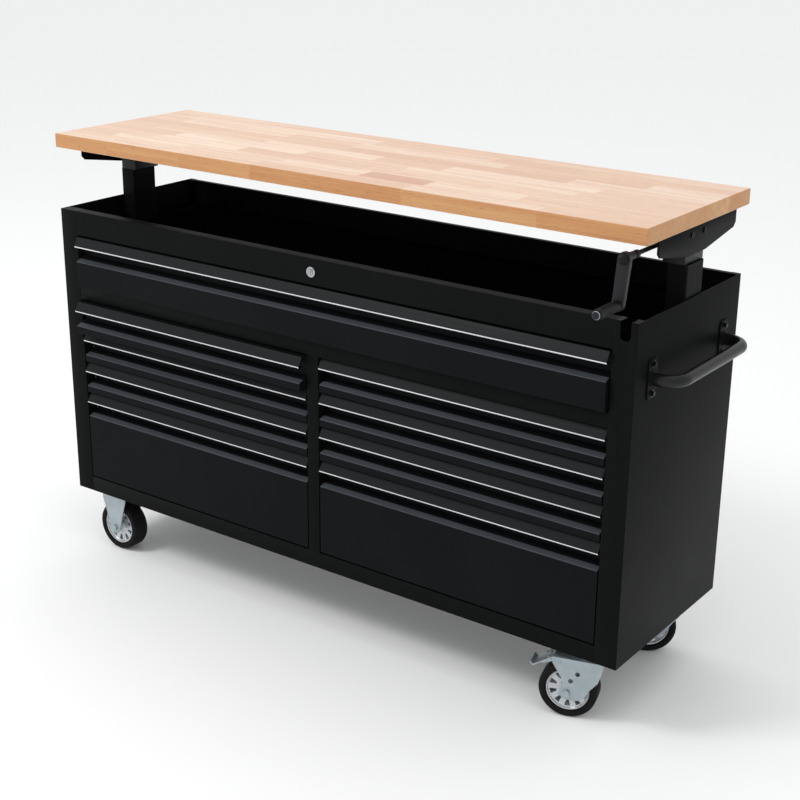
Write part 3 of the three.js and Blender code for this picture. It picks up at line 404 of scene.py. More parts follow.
def fillet(points, radii, steps):
    """An open path whose inner corners are arcs."""
    path = [Vector(points[0])]
    for before, corner, after, radius in zip(points, points[1:], points[2:], radii):
        corner = Vector(corner)
        to_before = (Vector(before) - corner).normalized()
        to_after = (Vector(after) - corner).normalized()
        half = to_before.angle(to_after) / 2
        middle = corner + (to_before + to_after).normalized() * (radius / math.sin(half))
        start = corner + to_before * (radius / math.tan(half)) - middle
        end = corner + to_after * (radius / math.tan(half)) - middle
        for step in range(steps + 1):
            spoke = start.lerp(end, step / steps).normalized() * radius
            path.append(middle + spoke)
    path.append(Vector(points[-1]))
    return path


def bent_sheet(name, path, thickness, bend, axis, low, high, finishes, materials, steps=4):
    """Sheet metal folded along a path, with real bends and the sheet on the path's right. Each
    straight run of the path takes its own finish, and a bend takes that of the run after it."""
    runs = [(Vector(b) - Vector(a)).normalized() for a, b in zip(path, path[1:])]
    normals = [Vector((run.y, -run.x)) for run in runs]
    other, radii, other_radii = [], [], []
    for i, point in enumerate(path):
        before = normals[max(i - 1, 0)]
        after = normals[min(i, len(normals) - 1)]
        other.append(Vector(point) + (before + after) * (thickness / (1 + before.dot(after))))
        if 0 < i < len(path) - 1:
            turns_right = runs[i - 1].cross(runs[i]) < 0
            radii.append(bend + thickness if turns_right else bend)
            other_radii.append(bend if turns_right else bend + thickness)
    faced = fillet(path, radii, steps)
    backed = fillet([tuple(p) for p in other], other_radii, steps)
    count = len(faced)
    ring = faced + backed[::-1]
    corners = [along(axis, p.x, p.y, depth) for depth in (low, high) for p in ring]
    total = len(ring)
    faces, which = [], []
    for i in range(total):
        j = (i + 1) % total
        faces.append((i, j, total + j, total + i))
        step = i if i < count - 1 else (2 * count - 2 - i if i < total - 1 else 0)
        run = min((step + steps) // (steps + 1), len(runs) - 1)
        which.append(finishes[run] if i < count - 1 else finishes[-1])
    for i in range(count - 1):
        back, next_back = total - 1 - i, total - 2 - i
        for base in (0, total):
            faces.append((base + i, base + i + 1, base + next_back, base + back))
            which.append(finishes[-1])
    piece = from_faces(name, corners, faces, *materials)
    piece.data.polygons.foreach_set("material_index", which)
    piece.data.shade_smooth()
    piece.data.set_sharp_from_angle(angle=math.radians(40))
    piece.modifiers.new("flat runs", "WEIGHTED_NORMAL").keep_sharp = True
    return piece


def turned(name, profile, material, sides=96, closed=True):
    """A shape turned about the y axis at the origin, from (radius, y) corners, in millimetres."""
    bm = bmesh.new()
    rings = []
    for side in range(sides):
        angle = 2 * math.pi * side / sides
        spoke = Vector((math.cos(angle), 0, math.sin(angle)))
        rings.append([bm.verts.new((spoke * r + Vector((0, y, 0))) * MM) for r, y in profile])
    count = len(profile)
    for side in range(sides):
        here, there = rings[side], rings[(side + 1) % sides]
        for i in range(count if closed else count - 1):
            j = (i + 1) % count
            bm.faces.new((here[i], here[j], there[j], there[i]))
    bmesh.ops.remove_doubles(bm, verts=bm.verts, dist=1e-6)
    bmesh.ops.recalc_face_normals(bm, faces=bm.faces)
    mesh = bpy.data.meshes.new(name)
    bm.to_mesh(mesh)
    bm.free()
    return shade(to_object(name, mesh, material))


def moved(piece, matrix):
    piece.data.transform(matrix)
    return piece


def made_plain(piece, name):
    """The piece with its modifiers turned into its own mesh."""
    bpy.context.view_layer.update()
    graph = bpy.context.evaluated_depsgraph_get()
    mesh = bpy.data.meshes.new_from_object(piece.evaluated_get(graph), depsgraph=graph)
    materials = list(piece.data.materials)
    bpy.data.objects.remove(piece)
    mesh.name = name
    plain = bpy.data.objects.new(name, mesh)
    bpy.context.scene.collection.objects.link(plain)
    if not mesh.materials:
        for material in materials:
            mesh.materials.append(material)
    return plain


# ---- Geometry Nodes: fasteners, screw threads and grip ribs ----

def new_tree(name, sizes):
    tree = bpy.data.node_groups.new(name, "GeometryNodeTree")
    tree.interface.new_socket("Geometry", in_out="INPUT", socket_type="NodeSocketGeometry")
    for size, kind in sizes.items():
        tree.interface.new_socket(size, in_out="INPUT", socket_type=kind)
    tree.interface.new_socket("Geometry", in_out="OUTPUT", socket_type="NodeSocketGeometry")
    return tree, tree.nodes.new("NodeGroupInput").outputs


def end_tree(tree, geometry, material):
    real = add(tree, "GeometryNodeRealizeInstances", {"Geometry": geometry}).outputs["Geometry"]
    done = {"Geometry": real, "Material": material}
    painted = add(tree, "GeometryNodeSetMaterial", done).outputs["Geometry"]
    add(tree, "NodeGroupOutput", {"Geometry": painted})


def on_each_point(tree, points, head):
    """Stands a head on each point, turned to face as the point's own attribute says."""
    facing = add(tree, "GeometryNodeInputNamedAttribute", {"Name": "facing"}, data_type="FLOAT_VECTOR")
    turn = add(tree, "FunctionNodeAlignRotationToVector", {"Vector": facing.outputs["Attribute"]})
    stand = {"Points": points, "Instance": head, "Rotation": turn.outputs["Rotation"]}
    return add(tree, "GeometryNodeInstanceOnPoints", stand).outputs["Instances"]


def hex_bolts_tree():
    """Hexagon bolt heads on washers."""
    sizes = {"Head radius": "NodeSocketFloat", "Head height": "NodeSocketFloat",
             "Washer radius": "NodeSocketFloat", "Washer height": "NodeSocketFloat",
             "Material": "NodeSocketMaterial"}
    tree, given = new_tree("hexagon bolts on washers", sizes)
    hexagon = {"Vertices": 6, "Radius": given["Head radius"], "Depth": given["Head height"]}
    head = add(tree, "GeometryNodeMeshCylinder", hexagon).outputs["Mesh"]
    rise = add(tree, "ShaderNodeMath", {0: given["Head height"], 1: 0.5, 2: given["Washer height"]},
               operation="MULTIPLY_ADD").outputs["Value"]
    up = add(tree, "ShaderNodeCombineXYZ", {"Z": rise}).outputs["Vector"]
    head = add(tree, "GeometryNodeTransform", {"Geometry": head, "Translation": up}).outputs["Geometry"]
    disc = {"Vertices": 24, "Radius": given["Washer radius"], "Depth": given["Washer height"]}
    washer = add(tree, "GeometryNodeMeshCylinder", disc).outputs["Mesh"]
    half = add(tree, "ShaderNodeMath", {0: given["Washer height"], 1: 0.5}, operation="MULTIPLY")
    lift = add(tree, "ShaderNodeCombineXYZ", {"Z": half.outputs["Value"]}).outputs["Vector"]
    washer = add(tree, "GeometryNodeTransform", {"Geometry": washer, "Translation": lift}).outputs["Geometry"]
    both = add(tree, "GeometryNodeJoinGeometry")
    tree.links.new(head, both.inputs[0])
    tree.links.new(washer, both.inputs[0])
    end_tree(tree, on_each_point(tree, given["Geometry"], both.outputs["Geometry"]), given["Material"])
    return tree


def rivets_tree():
    """Low domed rivet heads, half sunk in the sheet."""
    sizes = {"Radius": "NodeSocketFloat", "Dome": "NodeSocketFloat", "Material": "NodeSocketMaterial"}
    tree, given = new_tree("domed rivets", sizes)
    ball = add(tree, "GeometryNodeMeshUVSphere", {"Segments": 16, "Rings": 8, "Radius": given["Radius"]})
    flat = add(tree, "ShaderNodeCombineXYZ", {"X": 1.0, "Y": 1.0, "Z": given["Dome"]}).outputs["Vector"]
    dome = add(tree, "GeometryNodeTransform", {"Geometry": ball.outputs["Mesh"], "Scale": flat})
    smooth = add(tree, "GeometryNodeSetShadeSmooth", {"Geometry": dome.outputs["Geometry"]})
    heads = on_each_point(tree, given["Geometry"], smooth.outputs["Geometry"])
    end_tree(tree, heads, given["Material"])
    return tree


def socket_screws_tree():
    """Cylinder-head screws with a hexagon socket cut in each."""
    sizes = {"Head radius": "NodeSocketFloat", "Head height": "NodeSocketFloat",
             "Socket radius": "NodeSocketFloat", "Material": "NodeSocketMaterial"}
    tree, given = new_tree("socket screws", sizes)
    solid = {"Vertices": 24, "Radius": given["Head radius"], "Depth": given["Head height"]}
    head = add(tree, "GeometryNodeMeshCylinder", solid).outputs["Mesh"]
    key = {"Vertices": 6, "Radius": given["Socket radius"], "Depth": given["Head height"]}
    socket = add(tree, "GeometryNodeMeshCylinder", key).outputs["Mesh"]
    halving = {0: given["Head height"], 1: 0.5}
    half = add(tree, "ShaderNodeMath", halving, operation="MULTIPLY").outputs["Value"]
    up = add(tree, "ShaderNodeCombineXYZ", {"Z": half}).outputs["Vector"]
    socket = add(tree, "GeometryNodeTransform", {"Geometry": socket, "Translation": up}).outputs["Geometry"]
    cut = add(tree, "GeometryNodeMeshBoolean", {"Mesh 1": head, "Mesh 2": socket}, operation="DIFFERENCE")
    stood = add(tree, "GeometryNodeTransform", {"Geometry": cut.outputs["Mesh"], "Translation": up})
    heads = on_each_point(tree, given["Geometry"], stood.outputs["Geometry"])
    end_tree(tree, heads, given["Material"])
    return tree


def thread_tree():
    """A round-edged thread wound up a rod."""
    sizes = {"Radius": "NodeSocketFloat", "Pitch": "NodeSocketFloat", "Length": "NodeSocketFloat",
             "Ridge": "NodeSocketFloat", "Material": "NodeSocketMaterial"}
    tree, given = new_tree("wound thread", sizes)
    turns = add(tree, "ShaderNodeMath", {0: given["Length"], 1: given["Pitch"]}, operation="DIVIDE")
    coil = {"Resolution": 16, "Rotations": turns.outputs["Value"], "Start Radius": given["Radius"],
            "End Radius": given["Radius"], "Height": given["Length"]}
    helix = add(tree, "GeometryNodeCurveSpiral", coil).outputs["Curve"]
    ridge = add(tree, "GeometryNodeCurvePrimitiveCircle", {"Resolution": 6, "Radius": given["Ridge"]})
    wound = {"Curve": helix, "Profile Curve": ridge.outputs["Curve"], "Fill Caps": True}
    thread = add(tree, "GeometryNodeCurveToMesh", wound).outputs["Mesh"]
    both = add(tree, "GeometryNodeJoinGeometry")
    tree.links.new(thread, both.inputs[0])
    tree.links.new(given["Geometry"], both.inputs[0])
    end_tree(tree, both.outputs["Geometry"], given["Material"])
    return tree


def ribs_tree():
    """Ribs laid round a handle and along it."""
    sizes = {"Count": "NodeSocketInt", "Radius": "NodeSocketFloat", "Length": "NodeSocketFloat",
             "Rib": "NodeSocketFloat", "Material": "NodeSocketMaterial"}
    tree, given = new_tree("grip ribs", sizes)
    circle = {"Vertices": given["Count"], "Radius": given["Radius"]}
    points = add(tree, "GeometryNodeMeshCircle", circle).outputs["Mesh"]
    bar = add(tree, "GeometryNodeMeshUVSphere", {"Segments": 8, "Rings": 12, "Radius": 1.0}).outputs["Mesh"]
    half = add(tree, "ShaderNodeMath", {0: given["Length"], 1: 0.5}, operation="MULTIPLY").outputs["Value"]
    shape = {"X": given["Rib"], "Y": given["Rib"], "Z": half}
    scale = add(tree, "ShaderNodeCombineXYZ", shape).outputs["Vector"]
    rib = add(tree, "GeometryNodeTransform", {"Geometry": bar, "Scale": scale}).outputs["Geometry"]
    smooth = add(tree, "GeometryNodeSetShadeSmooth", {"Geometry": rib}).outputs["Geometry"]
    laid = add(tree, "GeometryNodeInstanceOnPoints", {"Points": points, "Instance": smooth})
    both = add(tree, "GeometryNodeJoinGeometry")
    tree.links.new(laid.outputs["Instances"], both.inputs[0])
    tree.links.new(given["Geometry"], both.inputs[0])
    end_tree(tree, both.outputs["Geometry"], given["Material"])
    return tree


HEX_BOLTS = hex_bolts_tree()
RIVETS = rivets_tree()
SOCKET_SCREWS = socket_screws_tree()
THREAD = thread_tree()
RIBS = ribs_tree()


def grow(carrier, tree, sizes, name):
    """Runs a tree on an object with those sizes, lengths in metres, and keeps the plain mesh."""
    modifier = carrier.modifiers.new("grown", "NODES")
    modifier.node_group = tree
    for socket in tree.interface.items_tree:
        if socket.in_out == "INPUT" and socket.name in sizes:
            modifier[socket.identifier] = sizes[socket.name]
    return made_plain(carrier, name)


def points_facing(spots):
    """Loose points with the way each one faces. A spot is a place in metres and a direction."""
    mesh = bpy.data.meshes.new("spots")
    mesh.from_pydata([tuple(spot) for spot, _ in spots], [], [])
    facing = mesh.attributes.new("facing", "FLOAT_VECTOR", "POINT")
    facing.data.foreach_set("vector", [value for _, way in spots for value in way])
    return to_object("spots", mesh)


def bolts(name, spots, body, slot, radius=5.5, height=4.2, washer=7.5, washer_height=1.2, metal=BLACK_OXIDE):
    sizes = {"Head radius": radius * MM, "Head height": height * MM, "Washer radius": washer * MM,
             "Washer height": washer_height * MM, "Material": metal}
    piece = grow(points_facing(spots), HEX_BOLTS, sizes, name)
    return settle(ease(piece, 0.5), body, slot)


def rivets(name, spots, body, slot, radius=3.0, dome=0.4, metal=BLACK_OXIDE):
    sizes = {"Radius": radius * MM, "Dome": dome, "Material": metal}
    piece = grow(points_facing(spots), RIVETS, sizes, name)
    piece.data.shade_smooth()
    return settle(piece, body, slot)


def socket_screws(name, spots, body, slot, radius=4.5, height=4.5, metal=BLACK_OXIDE):
    sizes = {"Head radius": radius * MM, "Head height": height * MM, "Socket radius": radius * 0.55 * MM,
             "Material": metal}
    piece = grow(points_facing(spots), SOCKET_SCREWS, sizes, name)
    return settle(ease(piece, 0.3), body, slot)


# ---- Cabinet ----

SHEET = 1.2
POST_W = 52
LOCK_PANEL_BOTTOM = box_mm("lock_panel")[0].z
OPENING = (POST_W + 0.3, CABINET_W - POST_W - 0.3)


def cabinet():
    for node in ("left_side_panel", "right_side_panel", "back_panel", "base_panel", "centre_divider"):
        eased_copy(node, CABINET_BLACK, 0.55)
    # The till floor takes the darker coat, which paints the shade under the worktop.
    eased_copy("till_floor", TILL_PAINTED_SHADE_BLACK, 0.55)
    for node in ("slide_rack_left", "slide_rack_right"):
        eased_copy(node, SLIDE_ZINC, 0.12)
    path = [(20, LOCK_PANEL_BOTTOM), (0, LOCK_PANEL_BOTTOM), (0, CABINET_H), (28, CABINET_H),
            (28, CABINET_H - 20)]
    panel = bent_sheet("lock_panel_folded", path, SHEET, 0.8, "x", *OPENING, [0] * 4, [CABINET_BLACK])
    settle(panel, "cabinet", "black_paint", "lock_panel")
    back = [(place(x, CABINET_D - 1.5, z), (0, 1, 0))
            for x in range(40, int(CABINET_W) - 30, 213) for z in (25, CABINET_H - 25)]
    rivets("back_panel_rivets", back, "cabinet", "black_paint", 3.2, 0.35)
    posts = [(place(x, CABINET_D, z), (0, 1, 0)) for x in (10, CABINET_W - 10) for z in range(60, 720, 150)]
    rivets("rear_flange_rivets", posts, "cabinet", "black_paint", 3.2, 0.35)


def lock():
    eased_copy("lock_housing", CHROME, 0.9, segments=3)
    eased_copy("lock_plug", CHROME, 0.3)


def side_handle():
    low, high = box_mm("side_handle")
    radius, reach, bend = 13, high.x - 13, 40
    mid_z = (low.z + high.z) / 2
    plate_half = 19
    front, rear = low.y + plate_half, high.y - plate_half
    wall = CABINET_W + 1.8
    path = [(wall, front), (reach, front), (reach, rear), (wall, rear)]
    route = fillet(path, [bend, bend], 14)
    curve = bpy.data.curves.new("handle_route", "CURVE")
    curve.dimensions = "3D"
    curve.bevel_depth = radius * MM
    curve.bevel_resolution = 8
    curve.use_fill_caps = True
    spline = curve.splines.new("POLY")
    spline.points.add(len(route) - 1)
    for point, spot in zip(spline.points, route):
        point.co = (*place(spot.x, spot.y, mid_z), 1)
    tube = bpy.data.objects.new("side_handle_tube", curve)
    bpy.context.scene.collection.objects.link(tube)
    bpy.context.view_layer.update()
    mesh = bpy.data.meshes.new_from_object(tube)
    bpy.data.objects.remove(tube)
    piece = shade(to_object("side_handle_tube", mesh, HANDLE_BLACK), 60)
    settle(piece, "cabinet", "black_paint", "side_handle")
    spots = []
    for index, y in enumerate((front, rear)):
        corner, half_h = 10, 42
        outline = []
        for cy, cz, start in ((1, 1, 0), (-1, 1, 90), (-1, -1, 180), (1, -1, 270)):
            for step in range(6):
                angle = math.radians(start + 18 * step)
                outline.append((y + cy * (plate_half - corner) + corner * math.cos(angle),
                                mid_z + cz * (half_h - corner) + corner * math.sin(angle)))
        plate = slab(f"side_handle_plate_{index + 1}", outline, "x", CABINET_W + 0.3, CABINET_W + 3.3,
                     CABINET_BLACK)
        settle(ease(plate, 0.8), "cabinet", "black_paint")
        weld = turned(f"side_handle_weld_{index + 1}", [(radius - 1, 0), (radius + 3.5, 0),
                      (radius + 2.6, 1.4), (radius + 1.2, 2.8), (radius - 1, 4)], CABINET_BLACK, 48)
        outwards = Matrix.Rotation(-math.pi / 2, 4, "Z")
        moved(weld, Matrix.Translation(place(CABINET_W + 3.2, y, mid_z)) @ outwards)
        settle(weld, "cabinet", "black_paint")
        spots += [(place(CABINET_W + 3.3, y, mid_z + side * 30), (1, 0, 0)) for side in (-1, 1)]
    bolts("side_handle_bolts", spots, "cabinet", "black_paint", 5.5, 4.5, 8)


# ---- Drawers ----

PULL_TOP_Y = 8
PULL_PROUD = 3
BAND_DROP = 20
PULL_EDGE = 4
GRIP_DEPTH = 30
LIP_FRONT_DROP = 60
LIP_REAR_DROP = 48
LIP_STRIP = 13  # depth of the painted highlight strip along the lower lip
BOX_BACK = CABINET_D - 30


def drawer(name):
    pull_low, pull_high = box_mm(f"{name}_pull")
    front_y = pull_low.y + PULL_PROUD
    left, right, top = pull_low.x, pull_high.x, pull_high.z
    bottom = box_mm(name)[0].z
    at = lambda y, z: (front_y + y, z)

    path = [at(10, top - BAND_DROP - PULL_EDGE), at(-PULL_PROUD, top - BAND_DROP - PULL_EDGE),
            at(-PULL_PROUD, top - BAND_DROP), at(PULL_TOP_Y, top), at(GRIP_DEPTH - 0.3, top)]
    pull = bent_sheet(f"{name}_pull_profile", path, 1.6, 0.5, "x", left, right, [0, 1, 0, 0],
                      [BAND, BRIGHT_EDGE])
    settle(pull, name, "pull_metal", f"{name}_pull")

    path = [at(16, bottom), at(0, bottom), at(0, top - LIP_FRONT_DROP),
            at(GRIP_DEPTH, top - LIP_REAR_DROP), at(GRIP_DEPTH, top)]
    face = bent_sheet(f"{name}_front", path, SHEET, 0.9, "x", left, right, [0] * 4, [DRAWER_BLACK])
    settle(face, name, "drawer_paint", name)

    # The grey strip over the front of the lower lip is a painted highlight: the lit front of the lip, with
    # the pull's shade behind it.
    slope = (LIP_FRONT_DROP - LIP_REAR_DROP) / GRIP_DEPTH
    over = lambda y, rise: at(y, top - LIP_FRONT_DROP + slope * y + rise)
    strip = [over(-0.4, -0.6), over(-0.4, 0.6), over(LIP_STRIP, 0.6), over(LIP_STRIP, 0.1), over(0.1, 0.1)]
    lip = slab(f"{name}_painted_lit_lip_strip", strip, "x", left + 0.8, right - 0.8, LIT_LIP_PAINTED_GREY)
    settle(ease(lip, 0.15), name, "pull_metal")

    under = lambda y: top - LIP_FRONT_DROP + slope * y - 0.8
    cheek = [at(0.8, bottom + 0.8), at(0.8, under(0.8)), at(GRIP_DEPTH + 0.4, under(GRIP_DEPTH + 0.4)),
             at(GRIP_DEPTH + 0.4, bottom + 6.6), at(GRIP_DEPTH - 1.2, bottom + 0.8)]
    for side, x in (("left", left + 0.6), ("right", right - 1.8)):
        plate = slab(f"{name}_{side}_cheek", cheek, "x", x, x + SHEET, DRAWER_BLACK)
        settle(ease(plate, 0.3), name, "drawer_paint")

    floor = bottom + 6.6
    box_left, box_right = left + 9.7, right - 9.7
    wall_top = floor + (top - bottom - 6) * 0.78
    tray(name, box_left, box_right, front_y + GRIP_DEPTH + SHEET + 0.1, front_y + BOX_BACK, floor, wall_top)

    heavy = top - bottom > 90
    middle = bottom + 12 + (45 if heavy else 35) / 2
    half = (45 if heavy else 35) / 2 - 1.7
    for side, wall, way in (("left", box_left, -1), ("right", box_right, 1)):
        out = wall + way * 9.9
        path = [(wall + way * 0.1, middle - half), (out, middle - half), (out, middle + half),
                (wall + way * 0.1, middle + half)]
        member = bent_sheet(f"{name}_{side}_slide", path if way < 0 else path[::-1], SHEET, 0.8, "y",
                            front_y + 33, front_y + 33 + CABINET_D - 60, [0] * 3, [SLIDE_ZINC])
        settle(member, name, "zinc")
    spots = [(place(wall - way * SHEET, front_y + y, middle), (-way, 0, 0))
             for wall, way in ((box_left, -1), (box_right, 1)) for y in (70, 160, 250, 340, 410)]
    rivets(f"{name}_slide_rivets", spots, name, "zinc", 3.0, 0.35, SLIDE_ZINC)


def tray(name, x0, x1, y0, y1, z0, z1):
    """The folded box behind a front, open at the top, with rolled upper edges."""
    outer = [(x0, y0), (x1, y0), (x1, y1), (x0, y1)]
    inner = [(x0 + SHEET, y0 + SHEET), (x1 - SHEET, y0 + SHEET),
             (x1 - SHEET, y1 - SHEET), (x0 + SHEET, y1 - SHEET)]
    rings = [(outer, z0), (outer, z1), (inner, z1), (inner, z0 + SHEET)]
    corners = [place(x, y, z) for ring, z in rings for x, y in ring]
    faces = [(0, 1, 2, 3), (12, 13, 14, 15)]
    for level in range(3):
        base = 4 * level
        faces += [(base + i, base + (i + 1) % 4, base + 4 + (i + 1) % 4, base + 4 + i) for i in range(4)]
    piece = from_faces(f"{name}_tray", corners, faces, DRAWER_BLACK)
    settle(ease(piece, 0.5), name, "drawer_paint")


# ---- Lift columns, arms and shafts ----

def box_tube(name, node, wall, corner, low_z, high_z, material, body, slot):
    """A square steel tube with rolled corners, inside and out."""
    low, high = box_mm(node)
    rings = []
    for inset, radius in ((0, corner), (wall, max(corner - wall, 0.8))):
        ring = []
        for sx, sy, start in ((1, 1, 0), (0, 1, 90), (0, 0, 180), (1, 0, 270)):
            cx = (high.x - inset - radius) if sx else (low.x + inset + radius)
            cy = (high.y - inset - radius) if sy else (low.y + inset + radius)
            for step in range(7):
                angle = math.radians(start + 15 * step)
                ring.append((cx + radius * math.cos(angle), cy + radius * math.sin(angle)))
        rings.append(ring)
    count = len(rings[0])
    levels = [(rings[0], low_z), (rings[0], high_z), (rings[1], high_z), (rings[1], low_z)]
    corners = [place(x, y, z) for ring, z in levels for x, y in ring]
    faces = []
    for level in range(4):
        a, b = level * count, ((level + 1) % 4) * count
        faces += [(a + i, a + (i + 1) % count, b + (i + 1) % count, b + i) for i in range(count)]
    piece = shade(from_faces(name, corners, faces, material), 40)
    piece.modifiers.new("flat runs", "WEIGHTED_NORMAL").keep_sharp = True
    return settle(piece, body, slot, node)


def lift():
    for side in ("left", "right"):
        inner_low, inner_high = box_mm(f"column_inner_{side}")
        box_tube(f"inner_column_{side}", f"column_inner_{side}", 2, 4, inner_low.z, inner_high.z,
                 CABINET_BLACK, "lift", "black_paint")
        outer_low, outer_high = box_mm(f"column_outer_{side}")
        box_tube(f"outer_column_{side}", f"column_outer_{side}", 2, 5, outer_low.z, outer_high.z,
                 CASTING, "cabinet", "cast_black")
        eased_copy(f"gearbox_{side}", CASTING, 2.2, segments=3)
        eased_copy(f"arm_{side}", CABINET_BLACK, 0.8)
        way = -1 if side == "left" else 1
        arm_low, arm_high = box_mm(f"arm_{side}")
        face_x = arm_low.x if side == "left" else arm_high.x
        shaft_z = arm_high.z - 21.8
        middle_y = (inner_low.y + inner_high.y) / 2
        heads = [(place(face_x, middle_y + dy, shaft_z + 1.6), (way, 0, 0)) for dy in (-27, 29)]
        socket_screws(f"arm_{side}_screws", heads, "lift", "black_paint", 5.5, 2.6)
        edge_x = arm_high.x - 12 if side == "left" else arm_low.x + 12
        wood_screws = [(place(edge_x, y, arm_high.z - 3.2), (0, 0, -1)) for y in (92, 158, 324, 390)]
        socket_screws(f"worktop_{side}_screws", wood_screws, "lift", "black_paint", 5, 3)
        lead_screw(side)
    eased_copy("cross_shaft", ZINC, 0.4)


def lead_screw(side):
    node = f"lead_screw_{side}"
    low, high = box_mm(node)
    centre = (low + high) / 2
    core = turned("core", [(0, low.z), (6.4, low.z), (6.4, high.z), (0, high.z)], ZINC, 32, closed=False)
    moved(core, Matrix.Rotation(math.pi / 2, 4, "X"))
    sizes = {"Radius": 6.7 * MM, "Pitch": 6 * MM, "Length": (high.z - low.z) * MM, "Ridge": 1.2 * MM,
             "Material": ZINC}
    moved(core, Matrix.Translation((0, 0, -low.z * MM)))
    piece = grow(core, THREAD, sizes, f"{node}_threaded")
    moved(piece, Matrix.Translation(place(centre.x, centre.y, low.z)))
    settle(shade(piece, 50), BODY_OF[node], SLOT_OF[node], node)


# ---- Crank ----

CRANK_FACE_Y = -26.5  # front face of the crank's hub


def crank():
    eased_copy("crank", CASTING, 1.3, segments=3)
    low, high = box_mm("crank_grip")
    centre = (low + high) / 2
    length = high.y - low.y
    half = length / 2
    body = turned("grip", [(5.4, -half), (9.6, -half), (10.6, -half + 0.8), (11.0, -half + 2.5),
                           (10.4, -half + 9), (10.2, 0), (10.4, half - 9), (11.0, half - 2.5),
                           (10.6, half - 0.8), (9.6, half), (5.4, half)], PLASTIC, 64)
    moved(body, Matrix.Rotation(math.pi / 2, 4, "X"))
    sizes = {"Count": 18, "Radius": 10.3 * MM, "Length": (length - 16) * MM, "Rib": 0.95 * MM,
             "Material": PLASTIC}
    grip = grow(body, RIBS, sizes, "crank_grip_ribbed")
    moved(grip, Matrix.Translation(place(*centre)) @ Matrix.Rotation(math.pi / 2, 4, "X"))
    settle(shade(grip, 50), "crank_grip", "black_plastic", "crank_grip")
    crank_low = box_mm("crank")[0]
    screw = turned("crank_end_screw_head", [(0, 0), (8.2, 0), (8.2, 1.6), (7.6, 2.3), (4.2, 2.9), (3.6, 2.9),
                                            (3.2, 1.2), (0, 1.2)], ZINC, 40, closed=False)
    upturned = Matrix.Rotation(math.pi, 4, "X")
    moved(screw, Matrix.Translation(place(centre.x, crank_low.y + 2.95, centre.z)) @ upturned)
    settle(screw, "crank", "cast_black")
    hub = JOINTS["crank_turn"]["pos_m"]
    bolt = turned("crank_hub_bolt", [(0, 0.5), (11.4, 0.5), (11.4, -1.6), (9.6, -2.2), (9.2, -6.0),
                                     (7.6, -8.4), (4.2, -9.8), (0, -10.2)], BLACK_OXIDE, 48, closed=False)
    moved(bolt, Matrix.Translation((hub[0], place(0, CRANK_FACE_Y, 0).y, hub[2])))
    settle(bolt, "crank", "cast_black")
    collar = turned("crank_shaft_collar", [(4.4, 17), (6.4, 17.4), (7.6, 19), (7.8, 23), (7.6, 27),
                                           (6.4, 28.6), (4.4, 29)], CASTING, 48)
    moved(collar, Matrix.Translation((hub[0], place(0, 0, 0).y, hub[2])))
    settle(collar, "crank", "cast_black")


# ---- Worktop ----

